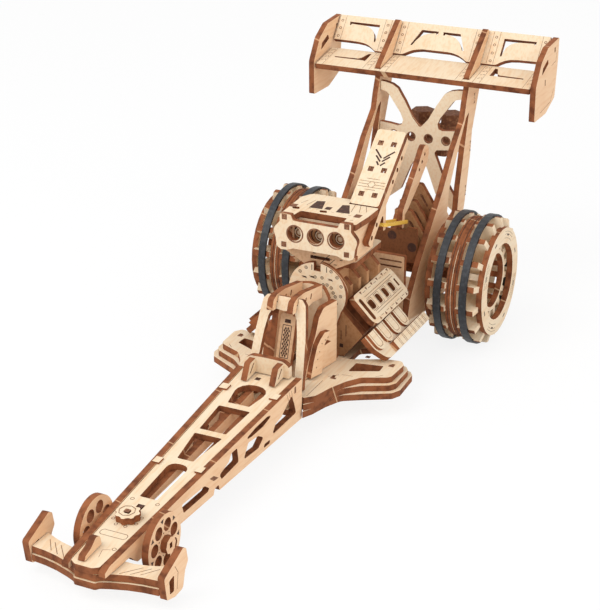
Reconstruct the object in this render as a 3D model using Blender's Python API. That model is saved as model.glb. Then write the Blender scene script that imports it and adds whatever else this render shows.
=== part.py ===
"""Laser-cut plywood model of a drag racing car, about 35 cm long.

The front points along -Y, the car's left side along +X and up along +Z.
Stations run backwards from the nose tip. All sizes are in metres.
"""
import math

import bmesh
import bpy
from mathutils import Matrix, Vector

# Stock and fits
PLY = 0.0028
FIT = 0.0003
PIN_CLEAR = 0.0004
GLUE_BITE = 0.0001

# Lie of the chassis
DECK_RISE = math.radians(4.29)
DECK_SPLAY = math.radians(2.49)
DECK_INSET = 0.0003

# Front wing
WING_BOTTOM = 0.0061
WING_HALF = 0.0266
WING_NOSE_HALF = 0.0045
WING_NOSE_LEAD = 0.0065
WING_CHORD = 0.0108
WING_STEP = 0.0006
WING_TOP = WING_BOTTOM + 2 * PLY + FIT
FRONT_PLATE_STATION = 0.0054
FRONT_PLATE_BOTTOM = 0.0035
DECK_NOSE_TOP = WING_TOP + FIT + PLY + DECK_INSET

# Chassis
NOSE_HALF = 0.0090
TRUSS_LENGTH = 0.1475
TRUSS_BOTTOM = 0.0078
TRUSS_STEP = 0.0155
RAIL_HALF = 0.0034
RAIL_DEPTH = 0.0050
RAIL_START = 0.0440
RAIL_END = 0.1360
CAP_STATION = 0.0308
CAP_RADIUS = 0.0048
CAP_TEETH = 8
FIN_X = -0.0020
FIN_STATION = 0.0018

# Front wheels
FRONT_WHEEL_RADIUS = 0.0118
FRONT_AXLE_STATION = 0.0296
FRONT_WHEEL_FACE = 0.0159
FRONT_WHEEL_HOLES = 7
FRONT_HOLE_RADIUS = 0.0023
FRONT_HOLE_CIRCLE = 0.0074
AXLE_RADIUS = 0.0012

# Rear wheels
REAR_WHEEL_RADIUS = 0.0314
REAR_AXLE_STATION = 0.2733
REAR_AXLE_RADIUS = 0.0030
BAND_WIDTH = 0.0035
BAND_SIDES = 48
BAND_THICK = 0.0012
BAND_OUTER_X = 0.05185
BAND_INNER_X = 0.03915
REAR_FACE_X = 0.0597
REAR_BACK_X = 0.0313
OUTER_RING_RADIUS = 0.02615
OUTER_RING_HOLE = 0.0185
HUB_RING_RADIUS = 0.0137
PADDLES = 16
PADDLE_FOOT = 0.0198

# Belly plate and side skirts
SKIRT_BOTTOM = 0.0089
SKIRT_INNER = 0.0155
SKIRT_STATION = 0.1473
SKIRT_LAYERS = 3
SKIRT_SHELF = 0.0064
SKIRT_TOP = SKIRT_BOTTOM + SKIRT_LAYERS * PLY
BELLY_TOP = SKIRT_TOP - PLY - FIT - GLUE_BITE
BELLY_FRONT = 0.1400
BELLY_STEP = 0.2090
BELLY_REAR = 0.2990

# Cockpit
COWL_STATION = 0.1457
COWL_HALF = 0.0105
COWL_HEIGHT = 0.0076
BRACKET_HALF = 0.0066
BRACKET_LENGTH = 0.0085
FRAME_STATION = 0.1523
FRAME_HEIGHT = 0.0386
FRAME_HALF = 0.0134
FRAME_LEG = 0.0040
FRAME_BAR = 0.0056
LAP_DEPTH = 0.0030
COCKPIT_LEAN = math.radians(17.2)
SIDE_STATION = 0.1628
SIDE_FRONT_HALF = 0.0080
SIDE_SPLAY = math.radians(9.9)
HOOP_HALF = 0.0048
HOOP_TOP = 0.0560
FIREWALL_STATION = 0.1887
FIREWALL_HALF = 0.0127
FIREWALL_TOP = 0.0520
SEAT_STATION = 0.1580
SEAT_HALF = 0.0036
SEAT_HEIGHT = 0.0320

# Engine
TIMING_STATION = 0.1963
TIMING_HEIGHT = 0.0450
TIMING_RADIUS = 0.0140
TIMING_FOOT = 0.0275
BLOCK_TOP = 0.0560
BLOCK_HALF = 0.0090
BLOCK_FOOT = 0.0120
BLOCK_LENGTH = 0.0380
BLOWER_HALF = 0.0170
WALL_STATION = 0.2463
WALL_TOP = 0.0475
BANK_ANGLE = math.radians(45.0)
COVER_LENGTH = 0.0416
COVER_WIDTH = 0.0165
COVER_RIM = 0.0021
COVER_EDGE = -0.0036
COVER_FACE = 0.0424
COVER_LAYERS = 3
COVER_HOLES = 4
COVER_HOLE_PITCH = 0.0075
COVER_HOLE_RADIUS = 0.0018
HEADER_FACE = 0.0396
HEADER_STATION = 0.1892
HEADER_TUBES = 4
TUBE_WIDTH = 0.0072
TUBE_PITCH = 0.0095
TUBE_RAISE = 0.0014
COLLECTOR_TOP = 0.0064
COLLECTOR_BOTTOM = 0.0116
COLLECTOR_END = 0.2380

# Scoop and start lever
SCOOP_STATION = 0.1938
SCOOP_HALF = 0.0205
SCOOP_AXIS = 0.0722
SCOOP_HOLE_RADIUS = 0.0035
SCOOP_HOLE_PITCH = 0.0103
SCOOP_TOP = 0.0796
SCOOP_REAR = 0.2248
SCOOP_SIDE_HALF = 0.0138
ROOF_HALF = 0.0190
LEVER_STATION = 0.2195
LEVER_RISE = 0.0800
LEVER_LENGTH = 0.0410
LEVER_WIDTH = 0.0140
LEVER_X = 0.0115
LEVER_LEAN = math.radians(39.0)
POST_X = 0.0120
ELASTIC_THICK = 0.0010
ELASTIC_WIDTH = 0.0016
CAGE_STATION = 0.2703
CAGE_TOP = 0.0615
CAGE_DEPTH = 0.0220
CAGE_INNER = 0.0095
# Distance behind the first rib and rise of each rib
CAGE_RIBS = ((0.0, 0.0), (0.0063, 0.0027), (0.0139, 0.0090))

# Rear struts and wing
STRUT_HALF = 0.0234
BRACE_STATION = 0.3178
BRACE_HEIGHT = 0.0823
BRACE_HOLE_PITCH = 0.0093
BRACE_HOLE_RADIUS = 0.0020
PACK_HALF = 0.0077
PACK_RADIUS = 0.0060
PACK_STATION = 0.3403
PACK_BOTTOM = 0.0760
PACK_LAYERS = 5
WING_SPAN_HALF = 0.0566
BLADE_STATION = 0.3133
BLADE_TOP = 0.1149
BLADE_CHORD = 0.0203
NOTCH_FRONT = 0.0022
BLADE_LEAN = math.radians(10.5)
FLAP_HEIGHT = 0.0182
FLAP_LEAN = math.radians(40.5)
END_STATION = 0.3129
END_LENGTH = 0.0341
LENGTH = END_STATION + END_LENGTH


def clear_scene():
    """Removes what a new file holds."""
    for item in list(bpy.data.objects):
        bpy.data.objects.remove(item, do_unlink=True)


def material(name, colour, roughness, metallic=0.0):
    """Returns a Principled material with one colour."""
    skin = bpy.data.materials.new(name)
    skin.use_nodes = True
    shader = skin.node_tree.nodes["Principled BSDF"]
    shader.inputs["Base Color"].default_value = (*colour, 1.0)
    shader.inputs["Roughness"].default_value = roughness
    shader.inputs["Metallic"].default_value = metallic
    skin.diffuse_color = (*colour, 1.0)
    return skin


def station(value):
    """Turns a distance behind the nose tip into a Y position."""
    return value - LENGTH / 2


def deck_height(s):
    """Returns the height of the ladder deck's top face at a station."""
    return DECK_NOSE_TOP - DECK_INSET + math.tan(DECK_RISE) * s


def truss_half(s):
    """Returns the outer half width of the two trusses at a station."""
    return NOSE_HALF + math.tan(DECK_SPLAY) * s


def rounded(corners, steps=4):
    """Returns an outline from corners given as (u, v, radius)."""
    outline = []
    count = len(corners)
    for index, (u, v, radius) in enumerate(corners):
        here = Vector((u, v))
        back = Vector(corners[index - 1][:2]) - here
        ahead = Vector(corners[(index + 1) % count][:2]) - here
        angle = back.angle(ahead)
        if radius <= 0.0 or angle > math.radians(175.0):
            outline.append((u, v))
            continue
        reach = radius / math.tan(angle / 2)
        reach = min(reach, 0.49 * back.length, 0.49 * ahead.length)
        true_radius = reach * math.tan(angle / 2)
        middle = (back.normalized() + ahead.normalized()).normalized()
        centre = here + middle * (true_radius / math.sin(angle / 2))
        first = here + back.normalized() * reach - centre
        sweep = first.angle_signed(here + ahead.normalized() * reach - centre)
        for step in range(steps + 1):
            turned = first.copy()
            turned.rotate(Matrix.Rotation(-sweep * step / steps, 2))
            outline.append(tuple(centre + turned))
    return outline


def disc(u, v, radius, sides=16, start=0.0):
    """Returns a round outline."""
    turn = math.tau / sides
    return [
        (u + radius * math.cos(start + turn * k), v + radius * math.sin(start + turn * k))
        for k in range(sides)
    ]


def box(u0, v0, u1, v1, radius=0.0, steps=2):
    """Returns a rectangular outline with rounded corners."""
    return rounded([(u0, v0, radius), (u1, v0, radius), (u1, v1, radius), (u0, v1, radius)], steps)


def mirrored(corners):
    """Returns corners followed by their mirror images across u = 0."""
    return list(corners) + [(-u, v, r) for u, v, r in reversed(corners)]


def prism(bm, outline, holes=(), low=0.0, high=PLY):
    """Adds a flat plate between two heights, open where the holes are."""
    edges = []
    for loop in (outline, *holes):
        verts = [bm.verts.new((u, v, low)) for u, v in loop]
        edges += [bm.edges.new((verts[k - 1], verts[k])) for k in range(len(verts))]
    filled = bmesh.ops.triangle_fill(bm, use_beauty=True, edges=edges)
    faces = [item for item in filled["geom"] if isinstance(item, bmesh.types.BMFace)]
    grown = bmesh.ops.extrude_face_region(bm, geom=faces)
    moved = [item for item in grown["geom"] if isinstance(item, bmesh.types.BMVert)]
    bmesh.ops.translate(bm, vec=(0.0, 0.0, high - low), verts=moved)
    return moved


def body(outline, holes=(), low=0.0, high=PLY, move=None):
    """Returns a mesh that holds one flat plate, moved by a matrix if one is given."""
    bm = bmesh.new()
    prism(bm, outline, holes, low, high)
    bmesh.ops.recalc_face_normals(bm, faces=bm.faces[:])
    if move is not None:
        bm.transform(move)
        if move.determinant() < 0:
            bmesh.ops.reverse_faces(bm, faces=bm.faces[:])
    return bm


def fuse(bodies):
    """Unites overlapping closed bodies into one closed body."""
    group = bpy.data.collections.new("pieces")
    bpy.context.scene.collection.children.link(group)
    items = []
    for index, bm in enumerate(bodies):
        mesh = bpy.data.meshes.new("piece")
        bm.to_mesh(mesh)
        bm.free()
        item = bpy.data.objects.new(f"piece_{index}", mesh)
        target = group if index else bpy.context.scene.collection
        target.objects.link(item)
        items.append(item)
    joint = items[0].modifiers.new("join", "BOOLEAN")
    joint.operation = "UNION"
    joint.solver = "EXACT"
    joint.operand_type = "COLLECTION"
    joint.collection = group
    view = bpy.context.evaluated_depsgraph_get()
    view.update()
    result = bpy.data.meshes.new_from_object(items[0].evaluated_get(view))
    bm = bmesh.new()
    bm.from_mesh(result)
    bpy.data.meshes.remove(result)
    for item in items:
        mesh = item.data
        bpy.data.objects.remove(item, do_unlink=True)
        bpy.data.meshes.remove(mesh)
    bpy.data.collections.remove(group)
    bmesh.ops.remove_doubles(bm, verts=bm.verts[:], dist=0.000002)
    bmesh.ops.dissolve_degenerate(bm, dist=0.000002, edges=bm.edges[:])
    return bm


FRAMES = {
    "XY": Matrix.Identity(4),
    "XZ": Matrix.Rotation(math.radians(90.0), 4, "X"),
    "YZ": Matrix(((0, 0, 1, 0), (1, 0, 0, 0), (0, 1, 0, 0), (0, 0, 0, 1))),
}
SIDES = ((1, "left"), (-1, "right"))


def node(name, bm, skin, plane="XY", place=(0.0, 0.0, 0.0), turn=None, parent=None):
    """Makes a named object from the mesh, turned into its plane and placed."""
    bmesh.ops.recalc_face_normals(bm, faces=bm.faces[:])
    mesh = bpy.data.meshes.new(name)
    bm.to_mesh(mesh)
    bm.free()
    mesh.materials.append(skin)
    item = bpy.data.objects.new(name, mesh)
    bpy.context.scene.collection.objects.link(item)
    if parent is not None:
        item.parent = parent
    lean = turn if turn is not None else Matrix.Identity(4)
    item.matrix_local = Matrix.Translation(place) @ lean @ FRAMES[plane]
    return item


def plate(name, outline, holes=(), skin=None, plane="XY", place=(0, 0, 0), turn=None, thick=PLY):
    """Makes one flat laser-cut plate, its thickness centred on its plane."""
    bm = bmesh.new()
    prism(bm, outline, holes, -thick / 2, thick / 2)
    return node(name, bm, skin or BIRCH, plane, place, turn)


def mm(rows, du=0.0, dv=0.0):
    """Returns corners given in millimetres as metres, shifted by two lengths."""
    return [(0.001 * u + du, 0.001 * v + dv, 0.001 * r) for u, v, r in rows]


def line_station(rows):
    """Returns corners whose first value is a station as corners on Y."""
    return [(station(s), z, r) for s, z, r in rows]


def build_front_wing():
    """Makes the two stacked wing layers and the two endplates."""
    # Half width, distance behind the wing's tip, corner radius
    front = (
        (0.0053, -0.0051, 0.0030),
        (0.0090, -0.0036, 0.0020),
        (0.0150, -0.0017, 0.0),
        (0.0205, -0.0006, 0.0),
    )
    rear = (
        (0.0220, WING_CHORD - 0.0019, 0.0030),
        (0.0185, WING_CHORD - 0.0032, 0.0030),
        (0.0130, WING_CHORD - 0.0045, 0.0010),
    )
    for level, name in enumerate(("front_wing_lower", "front_wing_upper")):
        back = level * WING_STEP
        corners = [(WING_NOSE_HALF, station(back), 0.0020)]
        corners += [(x, station(WING_NOSE_LEAD + s + back), r) for x, s, r in front]
        corners.append((WING_HALF, station(WING_NOSE_LEAD + back), 0.0))
        corners.append((WING_HALF, station(WING_NOSE_LEAD + WING_CHORD), 0.0))
        corners += [(x, station(WING_NOSE_LEAD + s), r) for x, s, r in rear]
        height = WING_BOTTOM + PLY / 2 + level * (PLY + FIT)
        plate(name, rounded(mirrored(corners), 3), place=(0, 0, height))
    # Distance behind the endplate's front, height, corner radius
    rim = mm((
        (1.4, 1.4, 1.0),
        (0.0, 10.9, 1.2),
        (13.7, 16.2, 0.6),
        (15.8, 14.9, 0.8),
        (16.9, 9.3, 1.5),
        (14.6, 6.5, 2.0),
        (12.7, 0.0, 1.5),
        (7.0, -0.3, 2.0),
    ), station(FRONT_PLATE_STATION), FRONT_PLATE_BOTTOM)
    window = mm((
        (3.6, 2.6, 0.5),
        (3.3, 8.2, 0.5),
        (6.8, 8.9, 0.5),
        (6.4, 2.5, 0.5),
    ), station(FRONT_PLATE_STATION), FRONT_PLATE_BOTTOM)
    for side, word in SIDES:
        x = side * (WING_HALF + FIT + PLY / 2)
        outline, hole = rounded(rim, 3), rounded(window, 2)
        plate(f"front_endplate_{word}", outline, [hole], plane="YZ", place=(x, 0, 0))


def truss_point(s, z):
    """Turns a station and a height into a side truss's own plane."""
    rise = z - DECK_NOSE_TOP
    cosine, sine = math.cos(DECK_RISE), math.sin(DECK_RISE)
    return s * cosine + rise * sine, rise * cosine - s * sine


def build_chassis():
    """Makes the side trusses, the ladder deck and the inner rails."""
    seat = WING_TOP + FIT
    tail = TRUSS_LENGTH * math.cos(DECK_RISE)
    # Station, height, corner radius
    rim = (
        (0.0, seat, 0.0),
        (0.0, DECK_NOSE_TOP - 0.0012, 0.0005),
        (0.0030, deck_height(0.0030) + DECK_INSET, 0.0010),
        (tail, deck_height(tail) + DECK_INSET, 0.0),
        (tail, TRUSS_BOTTOM, 0.0),
        (0.0783, TRUSS_BOTTOM, 0.0),
        (0.0776, TRUSS_BOTTOM + 0.0028, 0.0008),
        (0.0746, TRUSS_BOTTOM + 0.0022, 0.0008),
        (0.0737, TRUSS_BOTTOM, 0.0),
        (TRUSS_STEP + 0.0046, TRUSS_BOTTOM, 0.0020),
        (TRUSS_STEP, seat, 0.0010),
    )
    windows = (
        ((0.0507, 0.0154), (0.0673, 0.0151), (0.0709, 0.0124), (0.0694, 0.0114), (0.0519, 0.0113)),
        ((0.0785, 0.0143), (0.0800, 0.0118), (0.0933, 0.0130), (0.0923, 0.0196), (0.0880, 0.0195), (0.0855, 0.0166)),
        ((0.0973, 0.0120), (0.1093, 0.0114), (0.1136, 0.0144), (0.1093, 0.0170), (0.1013, 0.0178)),
        ((0.0978, 0.0200), (0.1073, 0.0217), (0.1171, 0.0223), (0.1213, 0.0213), (0.1133, 0.0194), (0.1043, 0.0192)),
        ((0.1135, 0.0092), (0.1144, 0.0108), (0.1194, 0.0107), (0.1185, 0.0092)),
        ((0.1208, 0.0120), (0.1418, 0.0128), (0.1401, 0.0180), (0.1378, 0.0225), (0.1289, 0.0168), (0.1237, 0.0156)),
    )
    outline = rounded([(*truss_point(s, z), r) for s, z, r in rim], 3)
    holes = [rounded([(*truss_point(s, z), 0.0007) for s, z in window], 2) for window in windows]
    holes.append(disc(*truss_point(FRONT_AXLE_STATION, FRONT_WHEEL_RADIUS), AXLE_RADIUS + PIN_CLEAR))
    rise = Matrix.Rotation(DECK_RISE, 4, "X")
    for side, word in SIDES:
        foot = (side * (NOSE_HALF - PLY / 2), station(0.0), DECK_NOSE_TOP)
        turn = Matrix.Rotation(-side * DECK_SPLAY, 4, "Z") @ rise
        plate(f"side_truss_{word}", outline, holes, plane="YZ", place=foot, turn=turn)

    half = lambda s: truss_half(s) - PLY / math.cos(DECK_SPLAY) - FIT
    outline = rounded(mirrored([
        (half(0.0) * 0.6, 0.0, 0.0015),
        (half(0.0), 0.0015, 0.0010),
        (half(TRUSS_LENGTH), TRUSS_LENGTH, 0.0),
    ]), 3)
    # Front and rear station, front and rear half width, rear corner radius
    openings = (
        (0.0453, 0.0703, 0.0037, 0.0045, 0.0035),
        (0.0738, 0.0928, 0.0036, 0.0062, 0.0006),
        (0.0963, 0.1153, 0.0060, 0.0072, 0.0006),
        (0.1188, 0.1353, 0.0050, 0.0080, 0.0060),
    )
    holes = [box(-0.0015, 0.0378, 0.0015, 0.0408)]
    for front, rear, narrow, wide, radius in openings:
        holes.append(rounded([
            (-narrow, front, 0.0006),
            (narrow, front, 0.0006),
            (wide, rear, radius),
            (-wide, rear, radius),
        ], 4))
    foot = (0, station(0.0), DECK_NOSE_TOP - DECK_INSET - PLY / 2)
    plate("ladder_deck", outline, holes, place=foot, turn=rise)

    under = DECK_INSET + PLY + FIT
    outline = rounded([
        (RAIL_START, -under, 0.0),
        (RAIL_END, -under, 0.0),
        (RAIL_END, -under - RAIL_DEPTH * 1.2, 0.0010),
        (RAIL_START + 0.0040, -under - RAIL_DEPTH * 0.5, 0.0010),
    ], 2)
    for side, word in SIDES:
        foot = (side * RAIL_HALF, station(0.0), DECK_NOSE_TOP)
        plate(f"inner_rail_{word}", outline, plane="YZ", place=foot, turn=rise)


def build_belly():
    """Makes the plate that carries the cockpit, the engine and the struts."""
    truss_end = TRUSS_LENGTH * math.cos(DECK_RISE)
    narrow = truss_half(BELLY_FRONT) - PLY / math.cos(DECK_SPLAY) - FIT
    wide = STRUT_HALF - PLY / 2 - FIT
    waist = SKIRT_INNER - FIT
    outline = rounded(mirrored([
        (narrow, station(BELLY_FRONT), 0.0),
        (narrow, station(truss_end + 2 * FIT), 0.0),
        (waist, station(truss_end + 2 * FIT), 0.0),
        (waist, station(BELLY_STEP), 0.0020),
        (wide, station(BELLY_STEP + 0.0040), 0.0020),
        (wide, station(BELLY_REAR), 0.0030),
    ]), 2)
    plate("belly_plate", outline, place=(0, 0, BELLY_TOP - PLY / 2))


def build_nose_fittings():
    """Makes the fin at the nose and the toothed filler cap."""
    outline = rounded(mm((
        (0.0, 0.0, 0.0),
        (11.5, 0.0, 0.0),
        (11.0, 4.0, 1.5),
        (8.5, 4.8, 1.0),
        (5.0, 2.6, 3.0),
        (1.0, 1.6, 1.0),
    )), 3)
    turn = Matrix.Rotation(DECK_RISE, 4, "X")
    lift = FIT / math.cos(DECK_RISE)
    foot = (FIN_X, station(FIN_STATION), deck_height(FIN_STATION) + lift)
    plate("nose_fin", outline, plane="YZ", place=foot, turn=turn)
    bm = bmesh.new()
    teeth = []
    for k in range(CAP_TEETH * 4):
        radius = CAP_RADIUS if k % 4 in (0, 1) else CAP_RADIUS * 0.86
        angle = math.tau * k / (CAP_TEETH * 4)
        teeth.append((radius * math.cos(angle), radius * math.sin(angle)))
    prism(bm, teeth, [box(-0.0011, -0.0011, 0.0011, 0.0011)], 0.0, PLY)
    spot = (0, station(CAP_STATION), deck_height(CAP_STATION) + lift)
    node("filler_cap", bm, BIRCH, "XY", spot, turn)


def wheel_line(name, s, height):
    """Returns an empty on a wheel set's axle line."""
    hinge = bpy.data.objects.new(name, None)
    bpy.context.scene.collection.objects.link(hinge)
    hinge.location = (0, station(s), height)
    return hinge


def build_front_wheels():
    """Makes the front axle and the two drilled front wheels."""
    hinge = wheel_line("front_axle_line", FRONT_AXLE_STATION, FRONT_WHEEL_RADIUS)
    bm = bmesh.new()
    reach = FRONT_WHEEL_FACE - PLY - FIT
    prism(bm, disc(0, 0, AXLE_RADIUS, 12), (), -reach, reach)
    node("front_axle", bm, BIRCH_DARK, "YZ", parent=hinge)
    turn = math.tau / FRONT_WHEEL_HOLES
    circle = FRONT_HOLE_CIRCLE
    for side, word in SIDES:
        bm = bmesh.new()
        holes = [
            disc(circle * math.cos(turn * k), circle * math.sin(turn * k), FRONT_HOLE_RADIUS, 14)
            for k in range(FRONT_WHEEL_HOLES)
        ]
        prism(bm, disc(0, 0, FRONT_WHEEL_RADIUS, 48), holes, -PLY / 2, PLY / 2)
        x = side * (FRONT_WHEEL_FACE - PLY / 2)
        node(f"front_wheel_{word}", bm, BIRCH, "YZ", (x, 0, 0), parent=hinge)


def build_rear_wheels():
    """Makes the rear axle, the paddled wheels and their rubber bands."""
    hinge = wheel_line("rear_axle_line", REAR_AXLE_STATION, REAR_WHEEL_RADIUS)
    bm = bmesh.new()
    reach = REAR_BACK_X - FIT
    prism(bm, disc(0, 0, REAR_AXLE_RADIUS, 16), (), -reach, reach)
    node("rear_axle", bm, BIRCH_DARK, "YZ", parent=hinge)
    seat = REAR_WHEEL_RADIUS - BAND_THICK - FIT
    rim = seat - 0.0006
    lip = seat + 0.0006
    shoulder = OUTER_RING_RADIUS - 0.0012
    middle = (BAND_OUTER_X + BAND_INNER_X) / 2
    stand = Matrix(((1, 0, 0, 0), (0, 0, 1, 0), (0, 1, 0, 0), (0, 0, 0, 1)))
    tab = PLY / 2
    # Inner side, radius and hole of each ring
    rings = (
        (REAR_BACK_X, OUTER_RING_RADIUS, HUB_RING_RADIUS),
        (middle - PLY, rim, HUB_RING_RADIUS - PLY),
        (middle, rim, HUB_RING_RADIUS - PLY),
        (REAR_FACE_X - PLY, OUTER_RING_RADIUS, OUTER_RING_HOLE),
    )
    # Inner end, outer end and the band's middle of each row of paddles
    spans = (
        (REAR_BACK_X + PLY - tab, middle - PLY + tab, BAND_INNER_X),
        (middle + PLY - tab, REAR_FACE_X - tab, BAND_OUTER_X),
    )
    for side, word in SIDES:
        mirror = Matrix.Scale(side, 4, (1, 0, 0))
        pieces = []
        for low, radius, hole in rings:
            bite = GLUE_BITE if low == middle else 0.0
            holes = [disc(0, 0, hole, 32)]
            move = mirror @ FRAMES["YZ"]
            pieces.append(body(disc(0, 0, radius, 32), holes, low - bite, low + PLY, move))
        for low, high, band in spans:
            near = band - BAND_WIDTH / 2 - FIT
            far = band + BAND_WIDTH / 2 + FIT
            outline = [
                (low, PADDLE_FOOT),
                (high, PADDLE_FOOT),
                (high, shoulder),
                (high - tab, lip),
                (far, lip),
                (far, seat),
                (near, seat),
                (near, lip),
                (low + tab, lip),
                (low, shoulder),
            ]
            for k in range(PADDLES):
                spin = Matrix.Rotation(math.tau * (k + 0.5) / PADDLES, 4, "X")
                pieces.append(body(outline, (), -PLY / 2, PLY / 2, mirror @ spin @ stand))
        hub = disc(0, 0, HUB_RING_RADIUS - PLY + GLUE_BITE, 32)
        back = body(hub, (), middle - PLY, middle, mirror @ FRAMES["YZ"])
        spindle = disc(0, 0, REAR_AXLE_RADIUS, 16)
        pin = body(spindle, (), REAR_BACK_X, middle, mirror @ FRAMES["YZ"])
        pieces += [back, pin]
        node(f"rear_wheel_{word}", fuse(pieces), BIRCH, "XY", parent=hinge)

        for band, tag in ((BAND_OUTER_X, "outer"), (BAND_INNER_X, "inner")):
            bm = bmesh.new()
            tread = disc(0, 0, REAR_WHEEL_RADIUS, BAND_SIDES)
            hole = disc(0, 0, REAR_WHEEL_RADIUS - BAND_THICK, BAND_SIDES)
            low = side * band - BAND_WIDTH / 2
            prism(bm, tread, [hole], low, low + BAND_WIDTH)
            node(f"rear_band_{tag}_{word}", bm, RUBBER, "YZ", parent=hinge)


def build_skirts():
    """Makes the three stacked side plates on each side of the cockpit."""
    start = SKIRT_STATION
    # Half width and distance behind the skirt's start, top and lowest layer
    top = (
        (15.9, 0.0), (19.7, 4.0), (22.3, 13.8), (25.8, 22.1), (30.2, 28.6), (40.2, 33.3),
        (41.8, 35.2), (42.4, 48.0), (40.0, 51.5), (33.0, 50.5), (18.7, 43.6),
    )
    low = (
        (16.3, -2.7), (18.8, 2.6), (21.1, 11.1), (24.7, 19.2), (32.4, 24.0), (44.0, 30.6),
        (46.1, 34.9), (45.4, 51.0), (43.0, 54.5), (33.0, 53.0), (18.7, 45.6),
    )
    radii = (0.2, 3.0, 6.0, 6.0, 5.0, 2.0, 2.0, 2.0, 2.0, 4.0, 2.0)
    windows = (
        mm(((22.4, 41.0, 0.5), (34.6, 43.3, 0.5), (35.0, 37.8, 0.5), (22.5, 31.9, 0.5)), 0.0, station(start)),
        mm(((37.2, 45.4, 0.3), (38.6, 45.7, 0.3), (39.0, 47.2, 0.3), (37.0, 46.9, 0.3)), 0.0, station(start)),
        mm(((18.2, 23.4, 0.2), (19.6, 23.6, 0.2), (19.4, 25.8, 0.2), (18.0, 25.6, 0.2)), 0.0, station(start)),
    )
    truss_end = station(TRUSS_LENGTH * math.cos(DECK_RISE) + 2 * FIT)
    for side, word in SIDES:
        pieces = []
        for level in range(SKIRT_LAYERS):
            share = level / (SKIRT_LAYERS - 1)
            rim = [
                (a + share * (b - a), c + share * (d - c), radius)
                for (a, c), (b, d), radius in zip(low, top, radii)
            ]
            corners = mm(rim, SKIRT_INNER - 0.0155, station(start))
            inner = SKIRT_SHELF if level == SKIRT_LAYERS - 1 else SKIRT_INNER
            edge = corners[0][0] - 0.0002
            corners += [(inner, corners[-1][1], 0.0), (inner, truss_end, 0.0), (edge, truss_end, 0.0)]
            holes = [rounded(hole, 2) for hole in windows]
            base = SKIRT_BOTTOM + level * PLY
            move = Matrix.Scale(side, 4, (1, 0, 0))
            pieces.append(body(rounded(corners, 3), holes, base - GLUE_BITE, base + PLY, move))
        node(f"side_skirt_{word}", fuse(pieces), BIRCH)


def build_cowl():
    """Makes the hoop in front of the cockpit with its two brackets."""
    foot = deck_height(COWL_STATION + PLY / 2) + FIT
    front = COWL_STATION - PLY / 2
    outline = rounded(mirrored([
        (COWL_HALF, foot, 0.0),
        (COWL_HALF, foot + COWL_HEIGHT * 0.72, 0.0020),
        (COWL_HALF * 0.72, foot + COWL_HEIGHT * 0.98, 0.0030),
        (0.0015, foot + COWL_HEIGHT, 0.0030),
    ]), 3)
    hoop = body(outline, (), -PLY / 2, PLY / 2, Matrix.Translation((0, station(COWL_STATION), 0)) @ FRAMES["XZ"])
    pieces = [hoop]
    reach = front - BRACKET_LENGTH
    rim = line_station((
        (reach, deck_height(reach) + 2 * FIT, 0.0),
        (reach + 0.0035, foot + COWL_HEIGHT * 0.80, 0.0010),
        (front + GLUE_BITE, foot + COWL_HEIGHT * 0.86, 0.0),
        (front + GLUE_BITE, foot + FIT, 0.0),
    ))
    slot = line_station((
        (reach + 0.0030, foot + COWL_HEIGHT * 0.20, 0.0),
        (reach + 0.0040, foot + COWL_HEIGHT * 0.20, 0.0),
        (front - 0.0014, foot + COWL_HEIGHT * 0.62, 0.0),
        (front - 0.0020, foot + COWL_HEIGHT * 0.68, 0.0),
    ))
    for side in (1, -1):
        move = Matrix.Translation((side * BRACKET_HALF, 0, 0)) @ FRAMES["YZ"]
        pieces.append(body(rounded(rim, 2), [rounded(slot, 2)], -PLY / 2, PLY / 2, move))
    node("cowl_hoop", fuse(pieces), BIRCH)


def frame_station(z):
    """Returns where the leaning cockpit frame's middle is at a height."""
    return FRAME_STATION + math.tan(COCKPIT_LEAN) * (z - SKIRT_TOP - FIT)


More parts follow.
